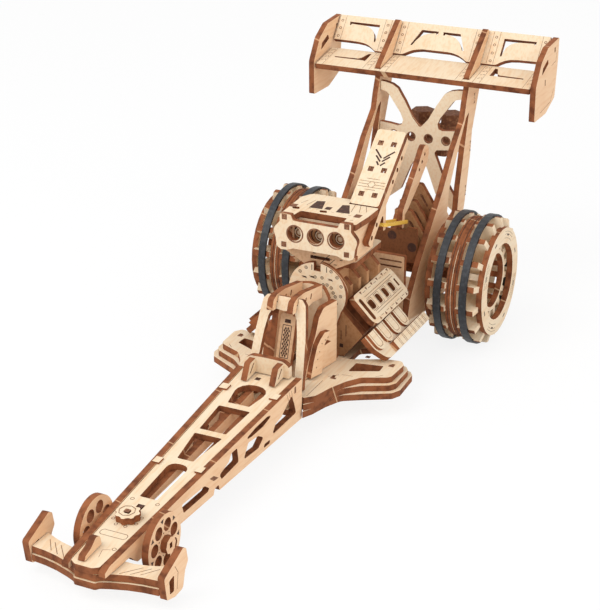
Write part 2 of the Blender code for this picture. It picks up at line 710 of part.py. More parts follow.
def build_cockpit():
    """Makes the leaning frame, the side walls, the firewall, the hoops and the seat."""
    lean = Matrix.Rotation(-COCKPIT_LEAN, 4, "X")
    top = FRAME_HEIGHT
    slot = PLY / 2 + FIT
    half = FRAME_HALF
    outer = (
        (half, 0.0, 0.0),
        (half - 0.0008, top * 0.32, 0.0),
        (half - 0.0015, top * 0.58, 0.0),
        (half - 0.0025, top * 0.79, 0.0),
        (half - 0.0034, top * 0.94, 0.0015),
        (half - 0.0052, top, 0.0015),
        (HOOP_HALF + slot, top, 0.0),
        (HOOP_HALF + slot, top - LAP_DEPTH, 0.0),
        (HOOP_HALF - slot, top - LAP_DEPTH, 0.0),
        (HOOP_HALF - slot, top, 0.0),
    )
    inner = (
        (0.0004, top - FRAME_BAR - 0.0005, 0.0030),
        (half - 0.0084, top - FRAME_BAR, 0.0015),
        (half - 0.0067, top - FRAME_BAR - 0.0035, 0.0020),
        (half - 0.0055, top * 0.58, 0.0),
        (half - 0.0046, top * 0.32, 0.0),
        (half - FRAME_LEG, 0.0, 0.0),
    )
    right = list(outer)
    left = [(-x, z, r) for x, z, r in reversed(outer)]
    under_left = [(-x, z, r) for x, z, r in reversed(inner)]
    outline = rounded(right + left + under_left + list(inner), 3)
    base = SKIRT_TOP + FIT + PLY / 2 * math.sin(COCKPIT_LEAN)
    plate("cockpit_frame", outline, plane="XZ", place=(0, station(frame_station(base)), base), turn=lean)

    length = FIREWALL_STATION - PLY / 2 - FIT - SIDE_STATION - PLY / 2 * math.sin(SIDE_SPLAY)
    length /= math.cos(SIDE_SPLAY)
    walls = mm((
        (0.0, 0.3, 0.0),
        (2.0, 7.0, 2.0),
        (5.5, 14.5, 3.0),
        (8.0, 19.0, 2.0),
        (10.5, 26.0, 2.0),
        (14.0, 29.5, 3.0),
    ))
    walls += [(length, 0.0295, 0.0), (length, FIT, 0.0)]
    for side, word in SIDES:
        turn = Matrix.Rotation(-side * SIDE_SPLAY, 4, "Z")
        foot = (side * SIDE_FRONT_HALF, station(SIDE_STATION), SKIRT_TOP)
        plate(f"cockpit_side_{word}", rounded(walls, 3), plane="YZ", place=foot, turn=turn)

    wall = station(FIREWALL_STATION)
    outline = rounded(mirrored([
        (FIREWALL_HALF, SKIRT_TOP + FIT, 0.0),
        (FIREWALL_HALF * 0.79, SKIRT_TOP + (FIREWALL_TOP - SKIRT_TOP) * 0.55, 0.0),
        (FIREWALL_HALF * 0.68, SKIRT_TOP + (FIREWALL_TOP - SKIRT_TOP) * 0.85, 0.0020),
        (FIREWALL_HALF * 0.50, FIREWALL_TOP - 0.0010, 0.0030),
        (0.0010, FIREWALL_TOP, 0.0),
    ]), 3)
    plate("firewall", outline, plane="XZ", place=(0, wall, 0))

    rear = FIREWALL_STATION - PLY / 2 - FIT
    lap = base + (top - LAP_DEPTH) * math.cos(COCKPIT_LEAN)
    front = frame_station(lap) - slot / math.cos(COCKPIT_LEAN)
    behind = frame_station(lap) + slot / math.cos(COCKPIT_LEAN)
    drop = math.tan(COCKPIT_LEAN) * 0.0055
    tilt = math.tan(COCKPIT_LEAN) * slot / math.cos(COCKPIT_LEAN)
    rim = line_station((
        (front - 0.0045, lap - 0.0020, 0.0008),
        (front - 0.0028, lap + 0.0028, 0.0020),
        (front + 0.0008, HOOP_TOP, 0.0030),
        (front + 0.0080, HOOP_TOP - 0.0002, 0.0),
        (rear, HOOP_TOP - 0.0035, 0.0),
        (rear, HOOP_TOP - 0.0095, 0.0),
        (behind + 0.0120, HOOP_TOP - 0.0078, 0.0),
        (behind - drop, lap - 0.0055, 0.0),
        (behind, lap + FIT - tilt, 0.0),
        (front, lap + FIT + tilt, 0.0),
        (front - drop * 0.4, lap - 0.0022, 0.0),
    ))
    slots = [
        rounded(line_station((
            (s, HOOP_TOP - 0.0032, 0.0),
            (s + 0.0011, HOOP_TOP - 0.0032, 0.0),
            (s + 0.0003, HOOP_TOP - 0.0056, 0.0),
            (s - 0.0008, HOOP_TOP - 0.0056, 0.0),
        )), 2)
        for s in (behind + 0.0052, behind + 0.0105)
    ]
    for side, word in SIDES:
        plate(f"cockpit_hoop_{word}", rounded(rim, 3), slots, plane="YZ", place=(side * HOOP_HALF, 0, 0))
    outline = box(-SEAT_HALF, 0.0, SEAT_HALF, SEAT_HEIGHT, 0.001)
    foot = (0, station(SEAT_STATION), BELLY_TOP + FIT + PLY / 2 * math.sin(COCKPIT_LEAN))
    plate("seat_panel", outline, plane="XZ", place=foot, turn=lean)


def bank_point(out, across):
    """Returns half width and height of a point on the left cylinder bank.

    Its distance is measured outwards from the crank line and across the bank's face.
    """
    sine, cosine = math.sin(BANK_ANGLE), math.cos(BANK_ANGLE)
    return out * sine + across * cosine, out * cosine - across * sine


def bank_matrix(side):
    """Turns (Y, across, out) into the frame for one cylinder bank."""
    sine, cosine = math.sin(BANK_ANGLE), math.cos(BANK_ANGLE)
    return Matrix((
        (0, side * cosine, side * sine, 0),
        (1, 0, 0, 0),
        (0, -sine, cosine, 0),
        (0, 0, 0, 1),
    ))


def build_engine():
    """Makes the ribbed block, the timing plate and the wall behind the engine."""
    radius = TIMING_RADIUS
    notch = 0.0017
    arc = [
        (radius * math.cos(math.radians(a)), TIMING_HEIGHT + radius * math.sin(math.radians(a)), 0.0)
        for a in range(-34, 83, 9)
    ]
    outline = rounded(mirrored([
        (radius * 0.6, TIMING_FOOT, 0.0020),
        *arc,
        (notch, TIMING_HEIGHT + radius * 0.992, 0.0),
        (notch, TIMING_HEIGHT + radius * 0.992 - 0.0038, 0.0),
    ]), 3)
    plate("timing_plate", outline, plane="XZ", place=(0, station(TIMING_STATION), 0))

    base = BELLY_TOP + FIT
    front = TIMING_STATION + PLY / 2 + FIT
    bank = COVER_FACE - COVER_LAYERS * PLY - FIT
    rim = COVER_EDGE - COVER_WIDTH - FIT
    core = rounded(mirrored([
        (BLOCK_FOOT, base, 0.0),
        (*bank_point(bank, COVER_EDGE), 0.0010),
        (*bank_point(bank, rim), 0.0),
        (BLOCK_HALF, BLOCK_TOP, 0.0010),
    ]), 2)
    place = Matrix.Translation((0, station(front + BLOCK_LENGTH), 0)) @ FRAMES["XZ"]
    pieces = [body(core, (), 0.0, BLOCK_LENGTH, place)]
    # Distance behind the block's front, half width and height below the block's top
    ribs = (
        (0.0056, 0.0125, 0.0050),
        (0.0112, 0.0140, 0.0034),
        (0.0168, 0.0155, 0.0018),
        (0.0224, 0.0186, 0.0002),
        (0.0280, 0.0155, 0.0018),
    )
    fold = bank_point(0.0, rim)[0] - bank_point(0.0, rim)[1]
    for back, wide, drop in ribs:
        top = BLOCK_TOP - drop
        outline = rounded(mirrored([
            (BLOCK_HALF - 0.0010, BLOCK_HALF - 0.0010 - fold, 0.0),
            (wide, wide - fold, 0.0005),
            (wide, top - 0.0040, 0.0015),
            (wide - 0.0040, top, 0.0020),
        ]), 2)
        shift = Matrix.Translation((0, station(front + back + PLY), 0)) @ FRAMES["XZ"]
        pieces.append(body(outline, (), 0.0, PLY, shift))
    node("engine_block", fuse(pieces), BIRCH_DARK)

    half = STRUT_HALF - PLY / 2 - FIT
    outline = box(-half, base, half, WALL_TOP, 0.0006)
    slits = [
        box(side * half * 0.68 - 0.0055, z, side * half * 0.68 + 0.0055, z + 0.0008)
        for side in (1, -1)
        for z in (WALL_TOP - 0.0032, WALL_TOP - 0.0060)
    ]
    plate("rear_wall", outline, slits, plane="XZ", place=(0, station(WALL_STATION), 0))


def build_covers():
    """Makes the layered valve covers with their recesses."""
    start = TIMING_STATION + PLY / 2 + FIT
    middle = COVER_EDGE - COVER_WIDTH / 2
    half = COVER_WIDTH / 2
    ahead, behind = station(start), station(start + COVER_LENGTH)
    outline = rounded([
        (ahead, middle - half, 0.0025),
        (behind, middle - half, 0.0040),
        (behind, middle + half, 0.0040),
        (ahead, middle + half, 0.0040),
    ], 4)
    centre = (ahead + behind) / 2
    holes = [
        box(ahead + COVER_RIM, middle - half + COVER_RIM * 1.3, ahead + COVER_RIM + 0.0026, middle + half - COVER_RIM, 0.0012),
        box(ahead + 0.0066, middle - 0.0020, ahead + 0.0080, middle + 0.0020),
        box(behind - 0.0044, middle - 0.0020, behind - 0.0030, middle + 0.0020),
    ]
    for k in range(COVER_HOLES):
        spot = centre + (k - (COVER_HOLES - 1) / 2) * COVER_HOLE_PITCH
        holes.append(rounded([
            (spot - COVER_HOLE_RADIUS, middle - 0.0023, 0.0004),
            (spot + COVER_HOLE_RADIUS, middle - 0.0023, 0.0014),
            (spot + COVER_HOLE_RADIUS, middle + 0.0023, 0.0014),
            (spot - COVER_HOLE_RADIUS, middle + 0.0023, 0.0004),
        ], 3))
    for side, word in SIDES:
        move = bank_matrix(side)
        low = body(outline, (), COVER_FACE - COVER_LAYERS * PLY, COVER_FACE - PLY + GLUE_BITE, move)
        high = body(outline, holes, COVER_FACE - PLY, COVER_FACE, move)
        node(f"valve_cover_{word}", fuse([low, high]), BIRCH)


def build_headers():
    """Makes the header bank below each valve cover: four U tubes and a collector."""
    edge = COVER_EDGE + FIT + 0.0003
    start = HEADER_STATION
    end = COLLECTOR_END
    rim = [
        (station(start), edge, 0.0),
        (station(start), COLLECTOR_TOP * 0.6, 0.0060),
        (station(start + 0.0042), COLLECTOR_BOTTOM, 0.0060),
        (station(end), COLLECTOR_BOTTOM, 0.0004),
        (station(end), COLLECTOR_TOP, 0.0004),
        (station(start + 0.0360), COLLECTOR_TOP - 0.0012, 0.0030),
        (station(start + 0.0310), edge, 0.0),
    ]
    for side, word in SIDES:
        move = bank_matrix(side)
        pieces = [body(rounded(rim, 4), (), HEADER_FACE - PLY, HEADER_FACE, move)]
        for k in range(HEADER_TUBES):
            left = station(start + 0.0010 + k * TUBE_PITCH)
            tube = rounded([
                (left, edge, 0.0),
                (left, COLLECTOR_TOP - GLUE_BITE, TUBE_WIDTH * 0.49),
                (left + TUBE_WIDTH, COLLECTOR_TOP - GLUE_BITE, TUBE_WIDTH * 0.49),
                (left + TUBE_WIDTH, edge, 0.0),
            ], 4)
            pieces.append(body(tube, (), HEADER_FACE - GLUE_BITE, HEADER_FACE + TUBE_RAISE, move))
        collector = box(
            station(start + 0.0120), COLLECTOR_TOP + 0.0004, station(end), COLLECTOR_BOTTOM - 0.0004, 0.0004
        )
        pieces.append(body(collector, (), HEADER_FACE - GLUE_BITE, HEADER_FACE + PLY, move))
        node(f"header_bank_{word}", fuse(pieces), BIRCH)


def build_scoop():
    """Makes the injector scoop with its three round mouths."""
    # Half width and height above the row of mouths, corner radius
    rim = mm((
        (10.6, -7.2, 1.0),
        (13.6, -8.3, 0.5),
        (16.6, -8.5, 1.0),
        (18.7, -7.2, 1.5),
        (19.2, -3.2, 3.0),
        (20.5, 0.9, 3.0),
        (17.2, 4.7, 1.5),
        (17.2, 8.4, 0.6),
        (11.8, 8.4, 0.6),
        (10.9, 5.8, 1.0),
    ), SCOOP_HALF - 0.0205, SCOOP_AXIS)
    mouths = [
        disc(k * SCOOP_HOLE_PITCH, SCOOP_AXIS, SCOOP_HOLE_RADIUS, 24) for k in (-1, 0, 1)
    ]
    outline = rounded(mirrored(rim), 3)
    plate("scoop_front", outline, mouths, plane="XZ", place=(0, station(SCOOP_STATION), 0))

    front = SCOOP_STATION + PLY / 2 + FIT
    lower = BLOCK_TOP + FIT
    shelf = lower + PLY + FIT
    roof = SCOOP_TOP - PLY
    blower = TIMING_STATION + PLY / 2 + FIT
    outline = rounded(mirrored([
        (BLOWER_HALF * 0.45, BLOCK_TOP + FIT, 0.0),
        (BLOWER_HALF, SCOOP_AXIS - 0.0108, 0.0),
        (BLOWER_HALF, SCOOP_AXIS - 0.0090, 0.0),
    ]), 2)
    slot = box(-0.0048, SCOOP_AXIS - 0.0128, 0.0048, SCOOP_AXIS - 0.0112, 0.0004)
    plate("blower_front", outline, [slot], plane="XZ", place=(0, station(blower + PLY / 2), 0))
    back = blower + PLY + FIT
    wide = SCOOP_SIDE_HALF + PLY / 2 + FIT
    outline = box(-wide, station(back), wide, station(SCOOP_REAR + 0.0080), 0.0020)
    plate("blower_deck", outline, place=(0, 0, lower + PLY / 2))
    wide = SCOOP_SIDE_HALF - PLY / 2 - FIT
    inner = box(-wide, shelf, wide, roof - FIT, 0.0006)
    plate("scoop_inner", inner, plane="XZ", place=(0, station(back + PLY / 2 + FIT), 0))
    outline = rounded(line_station((
        (front, roof - FIT, 0.0),
        (front, SCOOP_AXIS - 0.0087, 0.0),
        (back + FIT, SCOOP_AXIS - 0.0087, 0.0),
        (back + FIT, shelf, 0.0),
        (SCOOP_REAR - 0.0020, shelf, 0.0010),
        (SCOOP_REAR - 0.0090, roof - FIT, 0.0010),
    )), 2)
    for side, word in SIDES:
        plate(f"scoop_side_{word}", outline, plane="YZ", place=(side * SCOOP_SIDE_HALF, 0, 0))

    step = LEVER_STATION - FIT
    left_edge = LEVER_X - LEVER_WIDTH / 2 - FIT
    outline = rounded([
        (-ROOF_HALF + 0.0010, station(front), 0.0005),
        (-0.0118, station(front), 0.0005),
        (-0.0112, station(front + 0.0062), 0.0008),
        (0.0112, station(front + 0.0062), 0.0008),
        (0.0118, station(front), 0.0005),
        (ROOF_HALF - 0.0010, station(front), 0.0005),
        (ROOF_HALF, station(front + 0.0120), 0.0),
        (ROOF_HALF, station(step), 0.0010),
        (left_edge, station(step), 0.0005),
        (left_edge, station(SCOOP_REAR), 0.0010),
        (-ROOF_HALF + 0.0030, station(SCOOP_REAR), 0.0030),
        (-ROOF_HALF, station(SCOOP_REAR - 0.0060), 0.0),
    ], 2)
    # Middle and half sizes of the slanted slots
    slots = (
        (-0.0068, 0.0135, 0.0031, 0.0012),
        (0.0068, 0.0130, 0.0031, 0.0012),
        (-0.0018, 0.0095, 0.0022, 0.0009),
        (-0.0150, 0.0090, 0.0022, 0.0010),
    )
    holes = [
        rounded([
            (x - wide, station(front + s) + tall, 0.0004),
            (x + wide - 0.0012, station(front + s) + tall + 0.0006, 0.0004),
            (x + wide, station(front + s) - tall, 0.0004),
            (x - wide + 0.0012, station(front + s) - tall - 0.0006, 0.0004),
        ], 2)
        for x, s, wide, tall in slots
    ]
    plate("scoop_top", outline, holes, place=(0, 0, roof + PLY / 2))


def build_lever():
    """Makes the start lever, the strip under it, the trigger post and its elastic."""
    lean = Matrix.Rotation(LEVER_LEAN, 4, "X")
    half = LEVER_WIDTH / 2
    rise = LEVER_RISE
    windows = [
        box(side * half * 0.46 - 0.0013, v - 0.0013, side * half * 0.46 + 0.0013, v + 0.0013)
        for side in (1, -1)
        for v in (LEVER_LENGTH * 0.14, LEVER_LENGTH * 0.47, LEVER_LENGTH * 0.82)
    ]
    bm = bmesh.new()
    prism(bm, box(-half, 0.0, half, LEVER_LENGTH, 0.0012), windows, -PLY, 0.0)
    place = (LEVER_X, station(LEVER_STATION), rise)
    node("start_lever", bm, BIRCH, "XY", place, lean)

    x = LEVER_X + half - PLY / 2
    under = -PLY - FIT
    finger = LEVER_STATION + 0.0063, LEVER_STATION + 0.0093
    tip = rise - 0.0135
    on_lever = lambda v, w: (
        station(LEVER_STATION) + v * math.cos(LEVER_LEAN) - w * math.sin(LEVER_LEAN),
        rise + v * math.sin(LEVER_LEAN) + w * math.cos(LEVER_LEAN),
    )
    rim = [
        (*on_lever(LEVER_LENGTH * 0.985, under), 0.0),
        (*on_lever(LEVER_LENGTH * 0.960, under - 0.0034), 0.0015),
        (*on_lever(LEVER_LENGTH * 0.30, under - 0.0044), 0.0),
        (station(finger[1]), on_lever(0.0, 0.0)[1] - 0.0020, 0.0010),
        (station(finger[1]), tip, 0.0008),
        (station(finger[0]), tip, 0.0008),
        (station(finger[0]), on_lever(0.0, 0.0)[1] - 0.0048, 0.0010),
        (*on_lever(-0.0165, under - 0.0052), 0.0012),
        (*on_lever(-0.0170, under - 0.0008), 0.0012),
        (*on_lever(0.0, under), 0.0),
    ]
    eyes = [
        disc(*on_lever(v, under - 0.0022), 0.0011, 10)
        for v in (-0.0130, -0.0060, LEVER_LENGTH * 0.42, LEVER_LENGTH * 0.58, LEVER_LENGTH * 0.74)
    ]
    plate("lever_strip", rounded(rim, 3), eyes, plane="YZ", place=(x, 0, 0))

    lift = [CAGE_TOP + drop for _, drop in CAGE_RIBS]
    near = CAGE_STATION + CAGE_RIBS[0][0] - PLY / 2
    far = CAGE_STATION + CAGE_RIBS[-1][0] - PLY / 2
    low, high = lift[0] + FIT, lift[-1] + FIT
    slope = (high - low) / (far - near)
    along = lambda s: low + slope * (s - near)
    rim = line_station((
        (near - 0.0072, low - 0.0075, 0.0012),
        (near - 0.0040, low - 0.0075, 0.0012),
        (near - 0.0040, low - 0.0012, 0.0010),
        (near - FIT, low, 0.0),
        (far, high, 0.0),
        (far + 0.0105, along(far + 0.0105) + 0.0012, 0.0020),
        (far + 0.0120, along(far + 0.0105) + 0.0080, 0.0030),
        (far + 0.0062, along(far + 0.0062) + 0.0145, 0.0040),
        (far - 0.0012, along(far) + 0.0105, 0.0030),
        (near - 0.0066, low + 0.0012, 0.0015),
    ))
    dots = [
        disc(station(far + 0.0064 - 0.0033 * k), along(far + 0.0064) + 0.0088 - 0.0030 * k, 0.0009, 8)
        for k in range(3)
    ]
    plate("trigger_post", rounded(rim, 3), dots, plane="YZ", place=(POST_X, 0, 0))

    start = Vector((x, station(sum(finger) / 2), tip + 0.0026))
    end = Vector((POST_X, station(near - 0.0056), low - 0.0042))
    run = (end - start).normalized()
    level = Vector((0, 0, 1)).cross(run).normalized()
    rise_axis = run.cross(level)
    reach = (end - start).length / 2 + PLY / 2 + 0.0012
    clear = PLY / 2 + 0.0008
    outline = box(-reach - ELASTIC_THICK, -clear - ELASTIC_THICK, reach + ELASTIC_THICK, clear + ELASTIC_THICK, 0.0020, 4)
    hole = box(-reach, -clear, reach, clear, 0.0010, 3)
    move = Matrix((run, level, rise_axis)).transposed().to_4x4()
    move.translation = (start + end) / 2
    bm = body(outline, [hole], -ELASTIC_WIDTH / 2, ELASTIC_WIDTH / 2, move)
    node("elastic_band", bm, ELASTIC)


def build_cages():
    """Makes the three ribs on each strut with the plate that joins them."""
    outer = STRUT_HALF - PLY / 2 - FIT
    inner = CAGE_INNER
    for side, word in SIDES:
        pieces = []
        mirror = Matrix.Scale(side, 4, (1, 0, 0))
        for back, rise in CAGE_RIBS:
            top = CAGE_TOP + rise
            outline = rounded([
                (inner - PLY - GLUE_BITE, top - 0.0005, 0.0),
                (inner + 0.0004, top, 0.0020),
                (inner + 0.0052, top, 0.0015),
                (outer, top - 0.0107, 0.0010),
                (outer, top - CAGE_DEPTH, 0.0),
                (inner - PLY - GLUE_BITE, top - CAGE_DEPTH, 0.0),
            ], 3)
            slit = rounded([
                (inner + 0.0046, top - 0.0052, 0.0003),
                (inner + 0.0056, top - 0.0052, 0.0003),
                (inner + 0.0090, top - 0.0106, 0.0003),
                (inner + 0.0080, top - 0.0106, 0.0003),
            ], 2)
            place = Matrix.Translation((0, station(CAGE_STATION + back) + PLY / 2, 0)) @ FRAMES["XZ"]
            pieces.append(body(outline, [slit], 0.0, PLY, mirror @ place))
        first, last = CAGE_RIBS[0], CAGE_RIBS[-1]
        near, far = CAGE_STATION + first[0], CAGE_STATION + last[0]
        rim = line_station((
            (near - 0.0080, CAGE_TOP + first[1] - 0.0105, 0.0015),
            (near - 0.0020, CAGE_TOP + first[1] - 0.0030, 0.0030),
            (far + 0.0020, CAGE_TOP + last[1] - 0.0030, 0.0030),
            (far + 0.0040, CAGE_TOP + last[1] - CAGE_DEPTH * 0.7, 0.0020),
            (near + 0.0040, CAGE_TOP + first[1] - CAGE_DEPTH * 0.8, 0.0030),
            (near - 0.0080, CAGE_TOP + first[1] - CAGE_DEPTH * 0.8, 0.0015),
        ))
        place = Matrix.Translation((inner - PLY - GLUE_BITE, 0, 0)) @ FRAMES["YZ"]
        pieces.append(body(rounded(rim, 3), (), 0.0, PLY, mirror @ place))
        node(f"rear_cage_{word}", fuse(pieces), BIRCH)


def build_brace():
    """Makes the cross-shaped brace between the struts."""
    reach = STRUT_HALF - PLY / 2 - FIT
    # Half width, height above the row of holes, corner radius
    top = (
        (4.3, 10.3, 3.0), (8.3, 17.7, 0.0), (12.5, 24.2, 2.0), (15.4, 25.9, 2.0), (19.0, 26.7, 0.0),
    )
    arch = (
        (18.6, 21.8, 0.0), (17.1, 20.6, 1.0), (10.6, 11.6, 2.0), (9.2, 8.3, 1.0), (9.8, 5.8, 1.0),
        (12.0, 5.1, 1.0), (16.7, 5.7, 1.0),
    )
    under = (
        (14.5, -4.5, 1.0), (9.1, -5.2, 1.0), (8.1, -6.9, 1.0), (12.3, -16.9, 1.0),
    )
    foot = (
        (9.5, -28.3, 1.0), (4.5, -15.3, 2.0), (0.5, -8.8, 2.0),
    )
    middle = BRACE_HEIGHT
    corners = mm([(0.5, 5.8, 1.0)], 0.0, middle)
    corners += mm(top, 0.0, middle)
    corners += [(reach, middle + 0.0269, 0.0), (reach, middle + 0.0225, 0.0)]
    corners += mm(arch, 0.0, middle)
    corners += [(reach, middle + 0.0060, 0.0), (reach, middle - 0.0045, 0.0)]
    corners += mm(under, 0.0, middle)
    corners += [(reach, middle - 0.0318, 0.0), (reach, middle - 0.0383, 0.0)]
    corners += mm(foot, 0.0, middle)
    holes = [
        disc(k * BRACE_HOLE_PITCH, middle + 0.0002, BRACE_HOLE_RADIUS, 16)
        for k in (-1.5, -0.5, 0.5, 1.5)
    ]
    outline = rounded(mirrored(corners), 2)
    plate("cross_brace", outline, holes, plane="XZ", place=(0, station(BRACE_STATION), 0))


def build_packs():
    """Makes the two layered parachute packs behind the brace."""
    shelf = box(
        -PACK_HALF - 0.0055,
        station(BRACE_STATION + PLY / 2 + FIT),
        PACK_HALF + 0.0055,
        station(PACK_STATION + 0.0052),
        0.0015,
    )
    pieces = [body(shelf, (), PACK_BOTTOM - PLY, PACK_BOTTOM)]
    for side in (1, -1):
        for level in range(PACK_LAYERS):
            size = PACK_RADIUS * (1.0 if level % 2 == 0 else 0.86)
            outline = disc(side * PACK_HALF, station(PACK_STATION), size, 6, math.radians(90.0))
            low = PACK_BOTTOM + level * PLY
            pieces.append(body(outline, (), low - GLUE_BITE, low + PLY))
    node("parachute_packs", fuse(pieces), BIRCH)


def build_struts():
    """Makes the tall wing struts that start at the belly plate and end in the fences."""
    # Station behind the strut's foot corner, height, corner radius
    rim = (
        (242.9, 15.8, 1.0), (245.9, 25.9, 3.0), (257.5, 41.0, 4.0), (285.4, 68.3, 5.0),
        (298.8, 84.6, 5.0), (311.5, 96.2, 3.0), (313.4, 103.3, 1.0),
    )
    back = (
        (331.9, 106.1, 0.5), (328.0, 96.9, 0.0), (324.0, 87.6, 3.0), (322.7, 75.0, 5.0),
        (319.0, 57.7, 0.0), (317.0, 50.3, 3.0), (312.3, 38.0, 3.0), (298.3, 12.0, 2.0),
        (247.0, 12.0, 2.0),
    )
    slit = (
        (318.3, 98.4, 0.2), (314.3, 96.5, 1.0), (304.6, 82.9, 3.0), (293.9, 65.6, 2.0),
        (292.3, 54.8, 1.0), (299.0, 48.0, 2.5), (306.9, 49.9, 1.5), (308.5, 61.0, 2.0),
        (313.4, 80.3, 2.0),
    )
    shift = station(BRACE_STATION - 0.3178)
    inset = station(BLADE_STATION + NOTCH_FRONT + PLY * math.sin(BLADE_LEAN) + FIT)
    surface = BLADE_TOP + math.tan(BLADE_LEAN) * NOTCH_FRONT
    foot, height = flap_foot()
    up = Vector((math.sin(FLAP_LEAN), math.cos(FLAP_LEAN)))
    out = Vector((math.cos(FLAP_LEAN), -math.sin(FLAP_LEAN)))
    corner = Vector((station(foot), height))
    crest = corner + up * FLAP_HEIGHT * 0.97
    fence = [
        (inset, surface - PLY * 1.6, 0.0),
        (inset, surface + 0.0012, 0.0010),
        (*(crest - out * 0.0030), 0.0015),
        (*(crest - out * FIT), 0.0004),
        (*(corner - out * FIT - up * FIT), 0.0),
    ]
    corners = mm(rim, shift) + fence + mm(back, shift)
    holes = [
        rounded(mm(slit, shift), 3),
        disc(station(REAR_AXLE_STATION), REAR_WHEEL_RADIUS, REAR_AXLE_RADIUS + PIN_CLEAR, 20),
    ]
    for side, word in SIDES:
        x = side * STRUT_HALF
        plate(f"wing_strut_{word}", rounded(corners, 3), holes, plane="YZ", place=(x, 0, 0))


def flap_foot():
    """Returns station and height of the back blade's lower front corner."""
    rear = BLADE_STATION + BLADE_CHORD * math.cos(BLADE_LEAN)
    top = BLADE_TOP + BLADE_CHORD * math.sin(BLADE_LEAN)
    sine, cosine = math.sin(FLAP_LEAN), math.cos(FLAP_LEAN)
    return rear - 0.0010 * cosine + FIT * sine, top + 0.0010 * sine + FIT * cosine


def build_rear_wing():
    """Makes the two blades and the endplates of the rear wing."""
    half = WING_SPAN_HALF - FIT
    slot = PLY / 2 + FIT
    rim = [
        (0.0, BLADE_CHORD, 0.0),
        (STRUT_HALF - slot, BLADE_CHORD, 0.0),
        (STRUT_HALF - slot, NOTCH_FRONT, 0.0),
        (STRUT_HALF + slot, NOTCH_FRONT, 0.0),
        (STRUT_HALF + slot, BLADE_CHORD, 0.0),
        (half * 0.61, BLADE_CHORD, 0.0),
        (half * 0.61, BLADE_CHORD * 0.4, 0.0012),
        (half * 0.88, BLADE_CHORD * 0.4, 0.0012),
        (half * 0.88, BLADE_CHORD, 0.0),
        (half, BLADE_CHORD, 0.0),
        (half, 0.0, 0.0),
    ]
    bm = bmesh.new()
    prism(bm, rounded(mirrored(rim[1:]), 3), (), -PLY, 0.0)
    lean = Matrix.Rotation(BLADE_LEAN, 4, "X")
    node("wing_lower_blade", bm, BIRCH, "XY", (0, station(BLADE_STATION), BLADE_TOP), lean)

    tall = FLAP_HEIGHT
    rim = [
        (half * 0.30, tall * 0.29, 0.0020),
        (half * 0.30, 0.0, 0.0),
        (half * 0.575, 0.0, 0.0),
        (half * 0.575, tall * 0.28, 0.0030),
        (half * 0.935, tall * 0.28, 0.0030),
        (half * 0.935, 0.0, 0.0),
        (half, 0.0, 0.0),
        (half, tall, 0.0),
    ]
    # Corners of the thin angled slots as shares of half width and height
    angles = (
        ((0.885, 0.80), (0.885, 0.755), (0.605, 0.755), (0.605, 0.55), (0.590, 0.55), (0.590, 0.80)),
        ((0.228, 0.36), (0.213, 0.36), (0.170, 0.76), (0.110, 0.76), (0.110, 0.80), (0.182, 0.80)),
    )
    slots = [
        [(side * half * u, tall * v) for u, v in angle]
        for side in (1, -1)
        for angle in angles
    ]
    bm = bmesh.new()
    prism(bm, rounded(mirrored(rim), 3), slots, -PLY, 0.0)
    foot, height = flap_foot()
    turn = Matrix.Rotation(-FLAP_LEAN, 4, "X")
    node("wing_back_blade", bm, BIRCH, "XZ", (0, station(foot), height), turn)

    # Distance behind the endplate's front, height above the blade's front edge, corner radius
    rim = mm((
        (0.2, -16.1, 1.0), (-0.1, 1.1, 4.0), (6.9, 11.6, 4.0), (16.4, 16.9, 3.0), (34.1, 18.1, 0.6),
        (34.1, 7.1, 4.0), (31.9, -11.4, 2.0), (18.4, -16.3, 6.0),
    ), station(END_STATION), BLADE_TOP)
    windows = (
        mm(((8.4, 4.9, 0.4), (9.6, 8.4, 0.8), (17.0, 11.2, 0.8), (18.1, 8.7, 0.4)), station(END_STATION), BLADE_TOP),
        mm(((13.9, 1.7, 0.3), (14.9, 1.7, 0.3), (15.3, -1.5, 0.3), (14.3, -1.5, 0.3)), station(END_STATION), BLADE_TOP),
        mm(((27.0, 14.4, 0.3), (28.4, 14.7, 0.3), (28.8, 12.2, 0.3), (27.4, 11.9, 0.3)), station(END_STATION), BLADE_TOP),
    )
    outline = rounded(rim, 3)
    holes = [rounded(window, 2) for window in windows]
    for side, word in SIDES:
        x = side * (WING_SPAN_HALF + FIT + PLY / 2)
        plate(f"wing_endplate_{word}", outline, holes, plane="YZ", place=(x, 0, 0))


clear_scene()
BIRCH = material("birch_ply", (0.80, 0.62, 0.42), 0.62)
BIRCH_DARK = material("scorched_ply", (0.30, 0.13, 0.07), 0.70)
RUBBER = material("black_rubber", (0.03, 0.035, 0.04), 0.55)
ELASTIC = material("orange_elastic", (0.75, 0.42, 0.05), 0.60)

build_front_wing()
build_chassis()
build_belly()
build_nose_fittings()
build_front_wheels()
build_rear_wheels()
build_skirts()
build_cowl()
build_cockpit()
build_engine()
build_covers()
build_headers()
build_scoop()
build_lever()
build_cages()
build_brace()
build_packs()
build_struts()
build_rear_wing()
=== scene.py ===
"""Dresses the laser-cut plywood model of a drag racing car.

Pale birch plates with scorched edges, engraved lines and rivets, black tyre bands and
an elastic band stand on a pale floor in soft studio light.
"""

import logging
import math
from dataclasses import dataclass
from enum import Enum
from typing import Sequence

import bmesh
import bpy
from mathutils import Matrix, Vector


